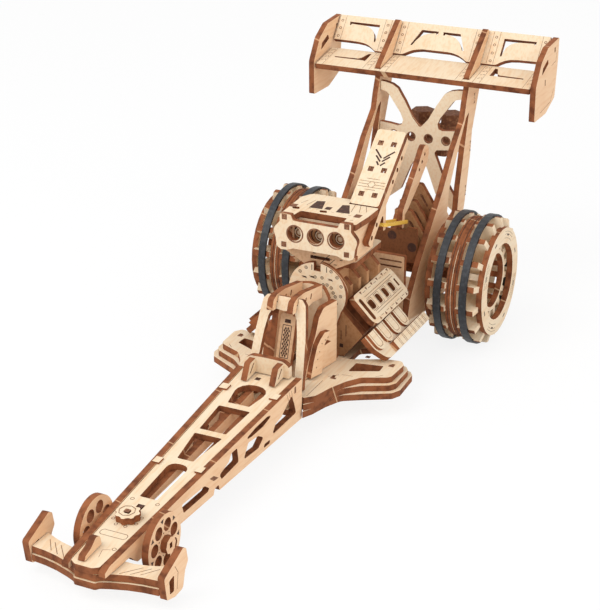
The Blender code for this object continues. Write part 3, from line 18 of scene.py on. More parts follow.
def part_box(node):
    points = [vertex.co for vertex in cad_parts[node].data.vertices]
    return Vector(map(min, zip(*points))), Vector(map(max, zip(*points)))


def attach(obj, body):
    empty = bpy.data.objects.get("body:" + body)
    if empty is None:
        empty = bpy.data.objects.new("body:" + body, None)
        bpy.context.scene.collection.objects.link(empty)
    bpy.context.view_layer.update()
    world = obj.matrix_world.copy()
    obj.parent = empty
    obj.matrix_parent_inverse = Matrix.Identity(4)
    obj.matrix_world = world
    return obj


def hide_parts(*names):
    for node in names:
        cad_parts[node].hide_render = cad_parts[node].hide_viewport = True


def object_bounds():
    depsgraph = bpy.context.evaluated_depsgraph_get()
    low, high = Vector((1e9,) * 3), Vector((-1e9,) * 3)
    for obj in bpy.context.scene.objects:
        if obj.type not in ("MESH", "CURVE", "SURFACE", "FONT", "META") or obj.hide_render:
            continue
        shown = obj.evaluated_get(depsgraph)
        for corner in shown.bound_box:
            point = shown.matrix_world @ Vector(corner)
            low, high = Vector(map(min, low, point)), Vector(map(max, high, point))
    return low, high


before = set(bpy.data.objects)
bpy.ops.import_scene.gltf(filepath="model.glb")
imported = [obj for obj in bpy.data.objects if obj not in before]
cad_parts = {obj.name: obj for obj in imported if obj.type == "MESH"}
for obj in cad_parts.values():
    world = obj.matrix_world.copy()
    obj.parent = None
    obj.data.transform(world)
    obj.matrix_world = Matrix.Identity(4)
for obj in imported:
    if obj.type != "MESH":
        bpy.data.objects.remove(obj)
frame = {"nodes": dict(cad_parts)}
CAD_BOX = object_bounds()

log = logging.getLogger("dragster")

MM = 0.001

Colour = tuple[float, float, float]
Point = tuple[float, float, float]
Spot = tuple[float, float]
Spots = Sequence[Spot]
Strokes = Sequence[tuple[Spot, Spot]]
Slits = Sequence[tuple[Spot, Spot, float]]
Quad = tuple[float, float, float, float]
Skin = bpy.types.Material

# Half the model's length, from its middle to the nose
HALF_LENGTH = 0.1735
SQUARE = ((-1.0, -1.0), (1.0, -1.0), (1.0, 1.0), (-1.0, 1.0))
# Each side's mirror flag and word
SIDES = ((False, "left"), (True, "right"))
# Widths of burnt lines in millimetres
HAIR, THIN, FINE, PLAIN, WIDE, BOLD = 0.16, 0.2, 0.22, 0.24, 0.3, 0.35


class Lie(Enum):
    """The way a plate lies: the axis through its thickness."""

    FLAT = (0.0, 0.0, 1.0)
    UPRIGHT = (1.0, 0.0, 0.0)
    CROSS = (0.0, 1.0, 0.0)
    COCKPIT = (0.0, math.cos(math.radians(17.2)), -math.sin(math.radians(17.2)))
    LEVER = (0.0, -math.sin(math.radians(39.0)), math.cos(math.radians(39.0)))
    BLADE = (0.0, -math.sin(math.radians(10.5)), math.cos(math.radians(10.5)))
    FLAP = (0.0, math.cos(math.radians(40.5)), -math.sin(math.radians(40.5)))
    BANK_LEFT = (math.sin(math.radians(45.0)), 0.0, math.cos(math.radians(45.0)))
    BANK_RIGHT = (-math.sin(math.radians(45.0)), 0.0, math.cos(math.radians(45.0)))
    BOXED = (1.0, 1.0, 0.0)


class Socket:
    """Wraps a shader socket so that sums on it add Math nodes."""

    def __init__(self, tree: bpy.types.NodeTree, socket: bpy.types.NodeSocket) -> None:
        """Keeps the tree and the socket."""
        self.tree = tree
        self.socket = socket

    def _math(self, operation: str, *values: object, clamp: bool = False) -> "Socket":
        """Adds one Math node.

        Args:
            operation: The node's operation.
            values: Sockets or numbers for its inputs.
            clamp: Whether the result is held between 0 and 1.

        Returns:
            The node's value.
        """
        node = self.tree.nodes.new("ShaderNodeMath")
        node.operation = operation
        node.use_clamp = clamp
        for index, value in enumerate(values):
            if isinstance(value, Socket):
                self.tree.links.new(value.socket, node.inputs[index])
            else:
                node.inputs[index].default_value = value
        return Socket(self.tree, node.outputs[0])

    def __add__(self, other: object) -> "Socket":
        """Returns the sum."""
        return self._math("ADD", self, other)

    __radd__ = __add__

    def __sub__(self, other: object) -> "Socket":
        """Returns the difference."""
        return self._math("SUBTRACT", self, other)

    def __rsub__(self, other: object) -> "Socket":
        """Returns a number less this value."""
        return self._math("SUBTRACT", other, self)

    def __mul__(self, other: object) -> "Socket":
        """Returns the product."""
        return self._math("MULTIPLY", self, other)

    __rmul__ = __mul__

    def absolute(self) -> "Socket":
        """Returns the value without its sign."""
        return self._math("ABSOLUTE", self)

    def fraction(self) -> "Socket":
        """Returns the part after the decimal point."""
        return self._math("FRACT", self)

    def step(self, low: float, high: float) -> "Socket":
        """Returns 0 below low, 1 above high and a soft ramp between.

        Args:
            low: Where the ramp starts.
            high: Where it ends.

        Returns:
            The ramp's value.
        """
        node = self.tree.nodes.new("ShaderNodeMapRange")
        node.interpolation_type = "SMOOTHSTEP"
        self.tree.links.new(self.socket, node.inputs[0])
        node.inputs[1].default_value = low
        node.inputs[2].default_value = high
        return Socket(self.tree, node.outputs[0])


class Shader:
    """One material's node tree with a Principled shader."""

    def __init__(self, name: str) -> None:
        """Makes the material."""
        self.material = bpy.data.materials.new(name)
        self.material.use_nodes = True
        self.tree = self.material.node_tree
        self.surface = self.tree.nodes["Principled BSDF"]

    def node(self, kind: str, settings: dict | None = None, inputs: dict | None = None, output: object = 0) -> Socket:
        """Adds a node.

        Args:
            kind: The node's type.
            settings: Its properties, set first.
            inputs: Values or sockets by input name or number.
            output: Which output is returned.

        Returns:
            The chosen output.
        """
        node = self.tree.nodes.new(kind)
        for key, value in (settings or {}).items():
            setattr(node, key, value)
        for key, value in (inputs or {}).items():
            self.feed(node.inputs[key], value)
        return Socket(self.tree, node.outputs[output])

    def feed(self, target: bpy.types.NodeSocket, value: object) -> None:
        """Links or sets one input."""
        if isinstance(value, Socket):
            self.tree.links.new(value.socket, target)
        else:
            target.default_value = value

    def mix(self, factor: Socket | float, first: object, second: object) -> Socket:
        """Blends two colours.

        Args:
            factor: The share of the second one.
            first: A colour or a socket.
            second: A colour or a socket.

        Returns:
            The blended colour.
        """
        node = self.tree.nodes.new("ShaderNodeMix")
        node.data_type = "RGBA"
        self.feed(node.inputs[0], factor)
        for place, value in ((6, first), (7, second)):
            self.feed(node.inputs[place], value if isinstance(value, Socket) else (*value, 1.0))
        return Socket(self.tree, node.outputs[2])

    def vector(self, operation: str, first: object, second: object = (0.0, 0.0, 0.0)) -> Socket:
        """Returns the vector that a Vector Math node makes."""
        return self.node("ShaderNodeVectorMath", {"operation": operation}, {0: first, 1: second})

    def dot(self, first: object, second: object) -> Socket:
        """Returns the dot product of two vectors."""
        return self.node("ShaderNodeVectorMath", {"operation": "DOT_PRODUCT"}, {0: first, 1: second}, "Value")

    def place(self, output: str = "Object") -> Socket:
        """Returns the object coordinates or the object's normals."""
        return self.node("ShaderNodeTexCoord", output=output)

    def noise(self, scale: float, detail: float, spot: Socket | None = None) -> Socket:
        """Returns noise at the object coordinates or at another vector."""
        inputs = {"Vector": spot or self.place(), "Scale": scale, "Detail": detail}
        return self.node("ShaderNodeTexNoise", inputs=inputs)

    def bump(self, height: Socket, strength: float) -> Socket:
        """Returns the normals of a relief a tenth of a millimetre deep."""
        return self.node("ShaderNodeBump", inputs={"Height": height, "Strength": strength, "Distance": 0.1 * MM})

    def finish(self, **inputs: object) -> Skin:
        """Sets the Principled inputs.

        Args:
            inputs: Values or sockets by input name, with underscores for spaces.

        Returns:
            The material.
        """
        for key, value in inputs.items():
            self.feed(self.surface.inputs[key.replace("_", " ").title()], value)
        return self.material


@dataclass(frozen=True)
class BirchPly:
    """Pale birch plywood with a fine grain and scorched laser-cut edges."""

    name: str = "birch_ply"
    lie: Lie = Lie.FLAT
    hub: Point | None = None
    pale: Colour = (0.80, 0.65, 0.465)
    warm: Colour = (0.74, 0.50, 0.29)
    burnt: Colour = (0.31, 0.105, 0.040)
    char: Colour = (0.12, 0.036, 0.014)
    roughness: float = 0.6
    gloss: float = 0.2
    tab_pitch: float = 0.0437
    tab_width: float = 0.0005
    tab_run: Point = (0.25, 1.0, 0.35)
    fibres: Point = (900.0, 70.0, 700.0)
    cloud_scale: float = 40.0
    soot_scale: float = 260.0

    def edge(self, shader: Shader) -> Socket:
        """Returns 1 on the sawn edges and 0 on the faces.

        Args:
            shader: The material that is being built.

        Returns:
            The share of edge colour.
        """
        normal = shader.place("Normal")
        if self.hub is not None:
            spot = shader.vector("SUBTRACT", shader.place(), self.hub)
            flat = shader.vector("MULTIPLY", spot, (0.0, 1.0, 1.0))
            return shader.dot(normal, shader.vector("NORMALIZE", flat)).absolute().step(0.60, 0.80)
        if self.lie is Lie.BOXED:
            level = shader.dot(normal, (1.0, 0.0, 0.0)).absolute()
            cross = shader.dot(normal, (0.0, 1.0, 0.0)).absolute()
            return (1.0 - level.step(0.90, 0.98)) * (1.0 - cross.step(0.90, 0.98))
        return 1.0 - shader.dot(normal, self.lie.value).absolute().step(0.60, 0.80)

    def material(self) -> Skin:
        """Builds the finish.

        Returns:
            The material.
        """
        shader = Shader(self.name)
        spot = shader.place()
        edge = self.edge(shader)
        streak = shader.noise(1.0, 3.0, shader.vector("MULTIPLY", spot, self.fibres))
        cloud = shader.noise(self.cloud_scale, 2.0)
        soot = shader.noise(self.soot_scale, 3.0)
        along = shader.dot(spot, self.tab_run)
        tabs = (along * (1.0 / self.tab_pitch)).fraction()
        tab = 1.0 - tabs.step(self.tab_width / self.tab_pitch, 1.4 * self.tab_width / self.tab_pitch)
        face = shader.mix(streak.step(0.42, 0.70) * 0.55 + cloud.step(0.45, 0.75) * 0.35, self.pale, self.warm)
        side = shader.mix(soot.step(0.38, 0.72) * 0.7 + cloud.step(0.40, 0.60) * 0.3, self.burnt, self.char)
        side = shader.mix(tab * 0.6, side, self.warm)
        colour = shader.mix(edge, face, side)
        relief = shader.bump(streak * 0.5 + soot * edge, 0.22)
        shader.surface.inputs["Specular IOR Level"].default_value = self.gloss
        return shader.finish(base_color=colour, roughness=self.roughness + edge * 0.15, normal=relief)


@dataclass(frozen=True)
class BurntLine:
    """Brown lines burnt into the wood by the laser."""

    name: str = "burnt_line"
    colour: Colour = (0.17, 0.062, 0.027)
    light: Colour = (0.33, 0.16, 0.075)

    def material(self) -> Skin:
        """Builds the finish."""
        shader = Shader(self.name)
        speck = shader.noise(700.0, 2.0)
        colour = shader.mix(speck.step(0.45, 0.75), self.colour, self.light)
        return shader.finish(base_color=colour, roughness=0.8, normal=shader.bump(speck, 0.2))


@dataclass(frozen=True)
class BlackRubber:
    """Matt black tyre band with a faint moulded grain."""

    name: str = "black_rubber"
    colour: Colour = (0.012, 0.014, 0.018)
    worn: Colour = (0.040, 0.045, 0.052)

    def material(self) -> Skin:
        """Builds the finish."""
        shader = Shader(self.name)
        grit = shader.noise(600.0, 3.0)
        colour = shader.mix(grit.step(0.4, 0.8), self.colour, self.worn)
        return shader.finish(base_color=colour, roughness=0.45 + grit * 0.15, normal=shader.bump(grit, 0.2))


@dataclass(frozen=True)
class OrangeElastic:
    """Woven orange elastic band."""

    name: str = "orange_elastic"
    colour: Colour = (0.70, 0.36, 0.03)
    thread: Colour = (0.88, 0.58, 0.10)

    def material(self) -> Skin:
        """Builds the finish."""
        shader = Shader(self.name)
        weave = shader.node("ShaderNodeTexWave", {"bands_direction": "Y"}, {"Vector": shader.place(), "Scale": 900.0})
        colour = shader.mix(weave, self.colour, self.thread)
        return shader.finish(base_color=colour, roughness=0.6, normal=shader.bump(weave, 0.3))


@dataclass(frozen=True)
class Face:
    """A flat face of a plate, with its own right and up directions."""

    origin: Point
    right: Point
    up: Point

    def matrix(self) -> Matrix:
        """Returns the turn and place of the face in the model, in metres."""
        right, up = Vector(self.right).normalized(), Vector(self.up).normalized()
        turn = Matrix((right, up, right.cross(up))).transposed().to_4x4()
        return Matrix.Translation(self.origin) @ turn


def front_face(station: float) -> Face:
    """Returns a face that looks forward at a distance behind the nose."""
    return Face((0.0, station - HALF_LENGTH, 0.0), (1.0, 0.0, 0.0), (0.0, 0.0, 1.0))


def side_face(out: float) -> Face:
    """Returns a face that looks left; its right direction runs back."""
    return Face((out, -HALF_LENGTH, 0.0), (0.0, 1.0, 0.0), (0.0, 0.0, 1.0))


def leaning_face(station: float, height: float, lean: float) -> Face:
    """Returns an upward face that rises towards the back by an angle."""
    return Face((0.0, station - HALF_LENGTH, height), (1.0, 0.0, 0.0), (0.0, math.cos(lean), math.sin(lean)))


def top_of(node: str) -> Face:
    """Returns a node's upward face, whose up direction runs back from the nose."""
    return Face((0.0, -HALF_LENGTH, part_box(node)[1][2]), (1.0, 0.0, 0.0), (0.0, 1.0, 0.0))


def front_of(node: str) -> Face:
    """Returns a node's forward face."""
    return front_face(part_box(node)[0][1] + HALF_LENGTH)


def side_of(node: str) -> Face:
    """Returns a node's face that looks left."""
    return side_face(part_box(node)[1][0])


def around(centre: Spot, turn: float, radius: float) -> Spot:
    """Returns the spot at an angle and a distance from a centre."""
    return centre[0] + radius * math.cos(turn), centre[1] + radius * math.sin(turn)


def flip(mirror: bool) -> Matrix:
    """Returns the matrix that carries a left piece to its own side."""
    return Matrix.Scale(-1.0, 4, (1.0, 0.0, 0.0)) if mirror else Matrix.Identity(4)


class Burner:
    """Burns marks into one face; all sizes are in millimetres."""

    def __init__(self, name: str, face: Face, mirror: bool = False) -> None:
        """Starts an empty set of marks.

        Args:
            name: The finished piece's name.
            face: The face that carries the marks.
            mirror: Whether the marks go to the same face on the other side.
        """
        self.name = name
        self.place = flip(mirror) @ face.matrix() @ Matrix.Scale(MM, 4)
        self.bm = bmesh.new()

    def line(self, start: Spot, end: Spot, width: float = PLAIN) -> None:
        """Burns one straight line."""
        run = Vector(end) - Vector(start)
        middle = (Vector(start) + Vector(end)) / 2
        place = Matrix.Translation((middle.x, middle.y, 0.0)) @ Matrix.Rotation(math.atan2(run.y, run.x), 4, "Z")
        stretch = Matrix.Diagonal((run.length, width, 1.0, 1.0))
        bmesh.ops.create_grid(self.bm, x_segments=1, y_segments=1, size=0.5, matrix=place @ stretch)

    def lines(self, strokes: Strokes, width: float = PLAIN) -> None:
        """Burns several straight lines."""
        for start, end in strokes:
            self.line(start, end, width)

    def path(self, spots: Spots, width: float = PLAIN, closed: bool = False) -> None:
        """Burns a line through several spots."""
        ends = list(spots[1:]) + ([spots[0]] if closed else [])
        self.lines(list(zip(spots, ends)), width)

    def frame(self, low: Spot, high: Spot, width: float = PLAIN) -> None:
        """Burns the outline of a rectangle."""
        self.path((low, (high[0], low[1]), high, (low[0], high[1])), width, closed=True)

    def dot(self, spot: Spot, radius: float, sides: int = 10) -> None:
        """Burns a round dot."""
        place = Matrix.Translation((spot[0], spot[1], 0.0))
        bmesh.ops.create_circle(self.bm, cap_ends=True, segments=sides, radius=radius, matrix=place)

    def ring(self, spot: Spot, radius: float, width: float = PLAIN, sides: int = 14) -> None:
        """Burns a ring by insetting a disc."""
        before = set(self.bm.faces)
        self.dot(spot, radius, sides)
        disc = [face for face in self.bm.faces if face not in before]
        bmesh.ops.inset_region(self.bm, faces=disc, thickness=width, use_even_offset=True, use_boundary=True)
        bmesh.ops.delete(self.bm, geom=disc, context="FACES_ONLY")

    def patch(self, spots: Spots) -> None:
        """Burns a filled shape."""
        corners = [self.bm.verts.new((u, v, 0.0)) for u, v in spots]
        bmesh.ops.contextual_create(self.bm, geom=corners)

    def stamp(self, spot: Spot, shape: Spots, across: float = 1.0, along: float = 1.0) -> None:
        """Burns a filled shape around a spot, stretched both ways."""
        self.patch([(spot[0] + u * across, spot[1] + v * along) for u, v in shape])

    def finish(
        self, skin: Skin, body: str = "chassis", relief: float = 0.03, thick: float = 0.08,
        slot: str = "scorched_ply",
    ) -> bpy.types.Object:
        """Gives the marks their depth and makes them one piece.

        Args:
            skin: The piece's material.
            body: The body that carries the plate.
            relief: How far the marks stand proud, in millimetres.
            thick: Their whole depth, in millimetres.
            slot: Not used.

        Returns:
            The piece.
        """
        for face in self.bm.faces:
            face.normal_update()
        turned = [face for face in self.bm.faces if face.normal.z < 0.0]
        bmesh.ops.reverse_faces(self.bm, faces=turned)
        bmesh.ops.solidify(self.bm, geom=self.bm.faces[:], thickness=thick)
        top = max(vert.co.z for vert in self.bm.verts)
        place = self.place @ Matrix.Translation((0.0, 0.0, relief - top))
        bmesh.ops.transform(self.bm, matrix=place, verts=self.bm.verts)
        return make_piece(self.name, self.bm, skin, body)


class Cutter(Burner):
    """Cuts a whole plate with openings; all sizes are in millimetres."""

    thick: float = 2.8

    def loop(self, spots: Spots) -> None:
        """Draws the outline of the plate or of an opening."""
        corners = [self.bm.verts.new((u, v, 0.0)) for u, v in spots]
        for first, second in zip(corners, corners[1:] + corners[:1]):
            self.bm.edges.new((first, second))

    def both(self, spots: Spots) -> None:
        """Draws an opening on the left and on the right."""
        self.loop(spots)
        self.loop([(-u, v) for u, v in reversed(spots)])

    def hole(self, spot: Spot, radius: float, sides: int = 24) -> None:
        """Draws a round outline or opening."""
        place = Matrix.Translation((spot[0], spot[1], 0.0))
        bmesh.ops.create_circle(self.bm, segments=sides, radius=radius, matrix=place)

    def cut(self, skin: Skin, body: str = "chassis", nodes: Sequence[str] = ()) -> None:
        """Fills the outlines around the openings and makes the plate.

        Args:
            skin: The plate's material.
            body: The body that carries it.
            nodes: The nodes of the frame that it stands for.
        """
        bmesh.ops.triangle_fill(self.bm, use_beauty=True, edges=self.bm.edges[:])
        piece = self.finish(skin, body, 0.0, self.thick, "birch_ply")
        if nodes:
            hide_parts(*nodes)


def make_object(name: str, data: bpy.types.ID) -> bpy.types.Object:
    """Makes an object and links it to the scene."""
    item = bpy.data.objects.new(name, data)
    bpy.context.scene.collection.objects.link(item)
    return item


def make_surface(name: str, bm: bmesh.types.BMesh, skin: Skin) -> bpy.types.Object:
    """Turns a bmesh, freed here, into an object with one material."""
    mesh = bpy.data.meshes.new(name)
    bm.to_mesh(mesh)
    bm.free()
    mesh.materials.append(skin)
    return make_object(name, mesh)


def make_piece(name: str, bm: bmesh.types.BMesh, skin: Skin, body: str) -> bpy.types.Object:
    """Turns a finished bmesh into a piece that rides on a body.

    Args:
        name: The piece's name.
        bm: The bmesh, freed here.
        skin: The piece's material.
        body: The body that it moves with.

    Returns:
        The piece.
    """
    bmesh.ops.recalc_face_normals(bm, faces=bm.faces)
    piece = make_surface(name, bm, skin)
    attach(piece, body)
    log.info("made %s", name)
    return piece


@dataclass
class Finishes:
    """All materials of the model, one for each way that a plate lies, and copies of the plywood with painted shade."""

    hub: Point = (0.0, 0.2733 - HALF_LENGTH, 0.0314)
    # Pale and warm colour of the plywood with painted shade, darker and warmer than the flat plates: where it stands on
    # edge, lies inside, lies in shade and lies in deep shade
    sides: tuple[Colour, Colour] = ((0.83, 0.56, 0.345), (0.74, 0.43, 0.235))
    inside_shade: tuple[Colour, Colour] = ((0.47, 0.245, 0.115), (0.34, 0.145, 0.060))
    shadow: tuple[Colour, Colour] = ((0.72, 0.46, 0.27), (0.56, 0.31, 0.155))
    deep_shade: tuple[Colour, Colour] = ((0.22, 0.085, 0.035), (0.12, 0.042, 0.018))
    # Dark and light colour of deep cuts: the char of the burn, with painted shade in slots, sockets and holes
    cut_char_and_shade: tuple[Colour, Colour] = ((0.050, 0.018, 0.010), (0.110, 0.040, 0.020))

    def __post_init__(self) -> None:
        """Builds the materials."""
        self.ply = {lie: BirchPly(f"birch_{lie.name.lower()}", lie).material() for lie in Lie if lie is not Lie.UPRIGHT}
        # Plates on edge get a warmer, darker copy of the ply: painted shade for how the light falls on their sides
        self.ply[Lie.UPRIGHT] = BirchPly("birch_upright", Lie.UPRIGHT, None, *self.sides).material()
        # The engine, the rear cage and the scoop's boss wall get darker, browner ply: painted shade for the model's
        # inside
        self.inner = BirchPly("birch_inner", Lie.BOXED, None, *self.inside_shade).material()
        # Painted shade on the rear wall, the blower front and the seat panel
        self.shaded = BirchPly("birch_shaded", Lie.CROSS, None, *self.shadow).material()
        # The darkest copy of the ply, used on the motor plate: painted deep shade
        self.dark = BirchPly("birch_dark", Lie.CROSS, None, *self.deep_shade).material()
        self.wheel = BirchPly("birch_wheel", hub=self.hub).material()
        self.burnt = BurntLine().material()
        # Near-black marks: the char of the cuts, darkened with painted shade in slots, sockets and holes
        self.charred_and_shaded = BurntLine("charred_cut_and_painted_shade", *self.cut_char_and_shade).material()
        # Starts of node names and their finish; all others are flat plates
        self.table = (
            ("rear_band", BlackRubber().material()),
            ("elastic", OrangeElastic().material()),
            ("rear_wheel", self.wheel),
            (("front_axle", "rear_axle", "parachute"), self.burnt),
            # Parts deep inside take the ply with painted shade
            (("engine", "rear_cage"), self.inner),
            (("rear_wall", "blower_front", "seat"), self.shaded),
            (
                ("side_truss", "inner_rail", "nose_fin", "front_endplate", "front_wheel", "cockpit_hoop",
                 "cockpit_side", "scoop_side", "lever_strip", "trigger", "wing_strut", "wing_endplate"),
                self.ply[Lie.UPRIGHT],
            ),
            (("firewall", "timing", "scoop_front", "scoop_inner", "cross_brace"), self.ply[Lie.CROSS]),
            ("cockpit_frame", self.ply[Lie.COCKPIT]),
            ("start_lever", self.ply[Lie.LEVER]),
            ("wing_lower_blade", self.ply[Lie.BLADE]),
            ("wing_back_blade", self.ply[Lie.FLAP]),
            (("valve_cover_left", "header_bank_left"), self.ply[Lie.BANK_LEFT]),
            (("valve_cover_right", "header_bank_right"), self.ply[Lie.BANK_RIGHT]),
            ("cowl", self.ply[Lie.BOXED]),
        )

    def of(self, name: str) -> Skin:
        """Returns the material of a node by its name."""
        return next((skin for starts, skin in self.table if name.startswith(starts)), self.ply[Lie.FLAT])

    def dress(self, nodes: dict[str, bpy.types.Object]) -> None:
        """Gives every node of the frame its finish."""
        for name, node in nodes.items():
            node.data.materials.clear()
            node.data.materials.append(self.of(name))
            log.info("dressed %s", name)


@dataclass
class Part:
    """A sub-assembly's added pieces, with the finishes that they use."""

    skins: Finishes


@dataclass
class FrontWing(Part):
    """Engraved hatching on the front wing and its endplates."""

    # Ends of each hatch line: half width and distance behind the nose
    hatch: Strokes = (
        ((23.2, 13.7), (18.7, 7.6)), ((20.4, 12.7), (15.2, 6.3)), ((17.3, 12.0), (11.5, 5.1)),
    )
    hatch_width: float = 0.26
    plate_line: Spots = ((13.9, 5.6), (15.0, 12.0), (13.0, 15.4))

    def build(self) -> None:
        """Burns the marks."""
        marks = Burner("front_wing_hatching", top_of("front_wing_upper"))
        for side in (1, -1):
            marks.lines([((side * a, s), (side * b, t)) for (a, s), (b, t) in self.hatch], self.hatch_width)
        marks.finish(self.skins.burnt)
        for mirror, word in SIDES:
            marks = Burner(f"front_endplate_lines_{word}", side_of("front_endplate_left"), mirror)
            marks.path(self.plate_line)
            marks.finish(self.skins.burnt)


@dataclass
class Deck(Part):
    """Rivets, hatch outline, dark sockets and pale collars on the ladder deck, and the cap's marks."""

    rise: float = math.radians(4.29)
    nose_top: float = 0.0151
    rivets: Spots = ((-5.4, 42.8), (5.4, 42.9), (-4.9, 12.4), (5.1, 12.6))
    cap: Spot = (-0.5, 31.1)
    cap_ring: float = 5.3
    hatch: tuple[Spot, Spot] = ((-5.4, 18.8), (5.7, 21.9))
    seams: Strokes = (((2.4, 6.4), (1.3, 10.8)), ((1.3, 10.8), (4.0, 11.8)))
    # Middle and half side of each dark socket
    sockets: Sequence[tuple[Spot, float]] = (((0.1, 39.7), 1.0), ((-2.1, 140.6), 1.1))
    # Inner and outer half width, near and far distance of the pale collars over the rails
    collars: Sequence[Quad] = ((7.9, 10.9, 66.8, 70.6), (9.9, 13.6, 126.8, 130.9))
    collar_lift: float = 0.9
    collar_thick: float = 1.2
    rivet_radius: float = 0.85
    cap_rivets: int = 8
    cap_rivet_radius: float = 0.75
    cap_sink: float = 0.2
    hatch_cut: float = 0.8

    def build(self) -> None:
        """Burns the marks."""
        deck = leaning_face(0.0, self.nose_top, self.rise)
        marks = Burner("deck_marks", deck)
        for spot in self.rivets:
            marks.ring(spot, self.rivet_radius)
        for k in range(self.cap_rivets):
            turn = math.tau * (k + 0.5) / self.cap_rivets
            marks.ring(around(self.cap, turn, self.cap_ring), self.cap_rivet_radius)
        (left, near), (right, far) = self.hatch
        cut = self.hatch_cut
        marks.path(
            ((left + cut, near), (right - cut, near), (right, near + cut), (right, far - cut),
             (right - cut, far), (left + cut, far), (left, far - cut), (left, near + cut)),
            closed=True,
        )
        marks.lines(self.seams, HAIR)
        marks.finish(self.skins.burnt)
        # The sockets are near-black patches: painted shade in their hollows
        sockets = Burner("deck_sockets", deck)
        for spot, half in self.sockets:
            sockets.stamp(spot, SQUARE, half, half)
        sockets.finish(self.skins.charred_and_shaded)
        collars = Cutter("deck_collars", leaning_face(0.0, self.nose_top + self.collar_lift * MM, self.rise))
        collars.thick = self.collar_thick
        for inner, outer, near, far in self.collars:
            collars.both(((inner, near), (outer, near), (outer, far), (inner, far)))
        collars.cut(self.skins.ply[Lie.FLAT])

        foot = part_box("filler_cap")[1][2] - math.tan(self.rise) * self.cap[1] * MM
        marks = Burner("cap_marks", leaning_face(0.0, foot - self.cap_sink * MM, self.rise))
        marks.ring(self.cap, 3.3, THIN, 8)
        marks.stamp(self.cap, SQUARE, 1.1, 1.0)
        marks.finish(self.skins.burnt)


@dataclass
class Trusses(Part):
    """Tab windows and lines on the outer faces of the side trusses."""

    nose_half: float = 0.0090
    tail_lines: Strokes = (
        ((133.7, 24.8), (135.8, 19.6)), ((135.6, 25.0), (137.4, 19.5)), ((137.6, 24.9), (138.9, 20.0)),
    )
    tail_tab: tuple[Spot, Spot] = ((140.3, 22.3), (141.7, 25.2))
    tab: Spots = ((71.1, 16.3), (74.1, 16.1), (77.7, 13.6), (74.0, 13.9))

    def build(self) -> None:
        """Burns the marks."""
        half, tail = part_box("side_truss_left")[1][:2]
        slope = math.atan2(half - self.nose_half, tail + HALF_LENGTH)
        face = Face((self.nose_half, -HALF_LENGTH, 0.0), (math.sin(slope), math.cos(slope), 0.0), (0.0, 0.0, 1.0))
        (near, low), (far, high) = self.tail_tab
        for mirror, word in SIDES:
            marks = Burner(f"truss_marks_{word}", face, mirror)
            marks.lines(self.tail_lines, THIN)
            marks.patch(((near, low), (far, low), (far, high), (near, high)))
            marks.patch(self.tab)
            marks.finish(self.skins.burnt)


@dataclass
class FrontWheels(Part):
    """The drilled front wheel plates with their hubs, triangles and pin marks."""

    station: float = 29.6
    radius: float = 11.8
    holes: int = 7
    hole_circle: float = 7.25
    hole_radius: float = 2.6
    hub_radius: float = 3.5
    hub_long: float = 2.6
    hub_socket: Spot = (0.9, 1.1)
    first_turn: float = 0.35
    # Distance from the middle and turn of each corner
    triangle: Spots = ((8.7, 0.0), (10.5, 0.11), (10.5, -0.11))
    pin_circle: float = 4.6

    def build(self) -> None:
        """Cuts the wheels and burns the marks."""
        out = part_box("front_wheel_left")[1][0]
        centre = (self.station, self.radius)
        for mirror, word in SIDES:
            wheel = Cutter(f"front_wheel_plate_{word}", side_face(out), mirror)
            wheel.hole(centre, self.radius, 48)
            marks = Burner(f"front_wheel_marks_{word}", side_face(out), mirror)
            for k in range(self.holes):
                turn = math.tau * k / self.holes + self.first_turn
                wheel.hole(around(centre, turn, self.hole_circle), self.hole_radius, 20)
                turn += math.pi / self.holes
                marks.patch([around(centre, turn + a, r) for r, a in self.triangle])
                marks.dot(around(centre, turn, self.pin_circle), 0.32, 6)
            wheel.cut(self.skins.ply[Lie.UPRIGHT], "front_wheelset", (f"front_wheel_{word}",))
            marks.finish(self.skins.charred_and_shaded, "front_wheelset")
            hub = Cutter(f"front_hub_{word}", side_face(out + self.hub_long * MM), mirror)
            hub.thick = self.hub_long
            hub.hole(centre, self.hub_radius, 8)
            hub.loop([(centre[0] + self.hub_socket[0] * a, centre[1] + self.hub_socket[1] * b) for a, b in SQUARE])
            hub.cut(self.skins.ply[Lie.UPRIGHT], "front_wheelset")


@dataclass
class Skirts(Part):
    """Tab ends and border lines on the side skirts."""

    # Middle, half length across and half length along of each tab end
    tabs: Sequence[Quad] = (
        (19.4, 170.1, 1.3, 0.8), (37.7, 192.3, 1.2, 1.1), (24.6, 196.4, 1.0, 1.0),
    )
    lines: Strokes = (
        ((16.3, 149.5), (16.3, 166.0)), ((21.4, 174.9), (26.4, 175.4)), ((35.5, 179.3), (38.0, 182.0)),
        ((16.9, 170.6), (17.9, 171.8)), ((19.2, 173.0), (20.4, 174.2)),
    )

    def build(self) -> None:
        """Burns the marks."""
        for mirror, word in SIDES:
            marks = Burner(f"skirt_marks_{word}", top_of("side_skirt_left"), mirror)
            for x, s, across, along in self.tabs:
                marks.stamp((x, s), SQUARE, across, along)
            marks.lines(self.lines, THIN)
            marks.finish(self.skins.burnt)


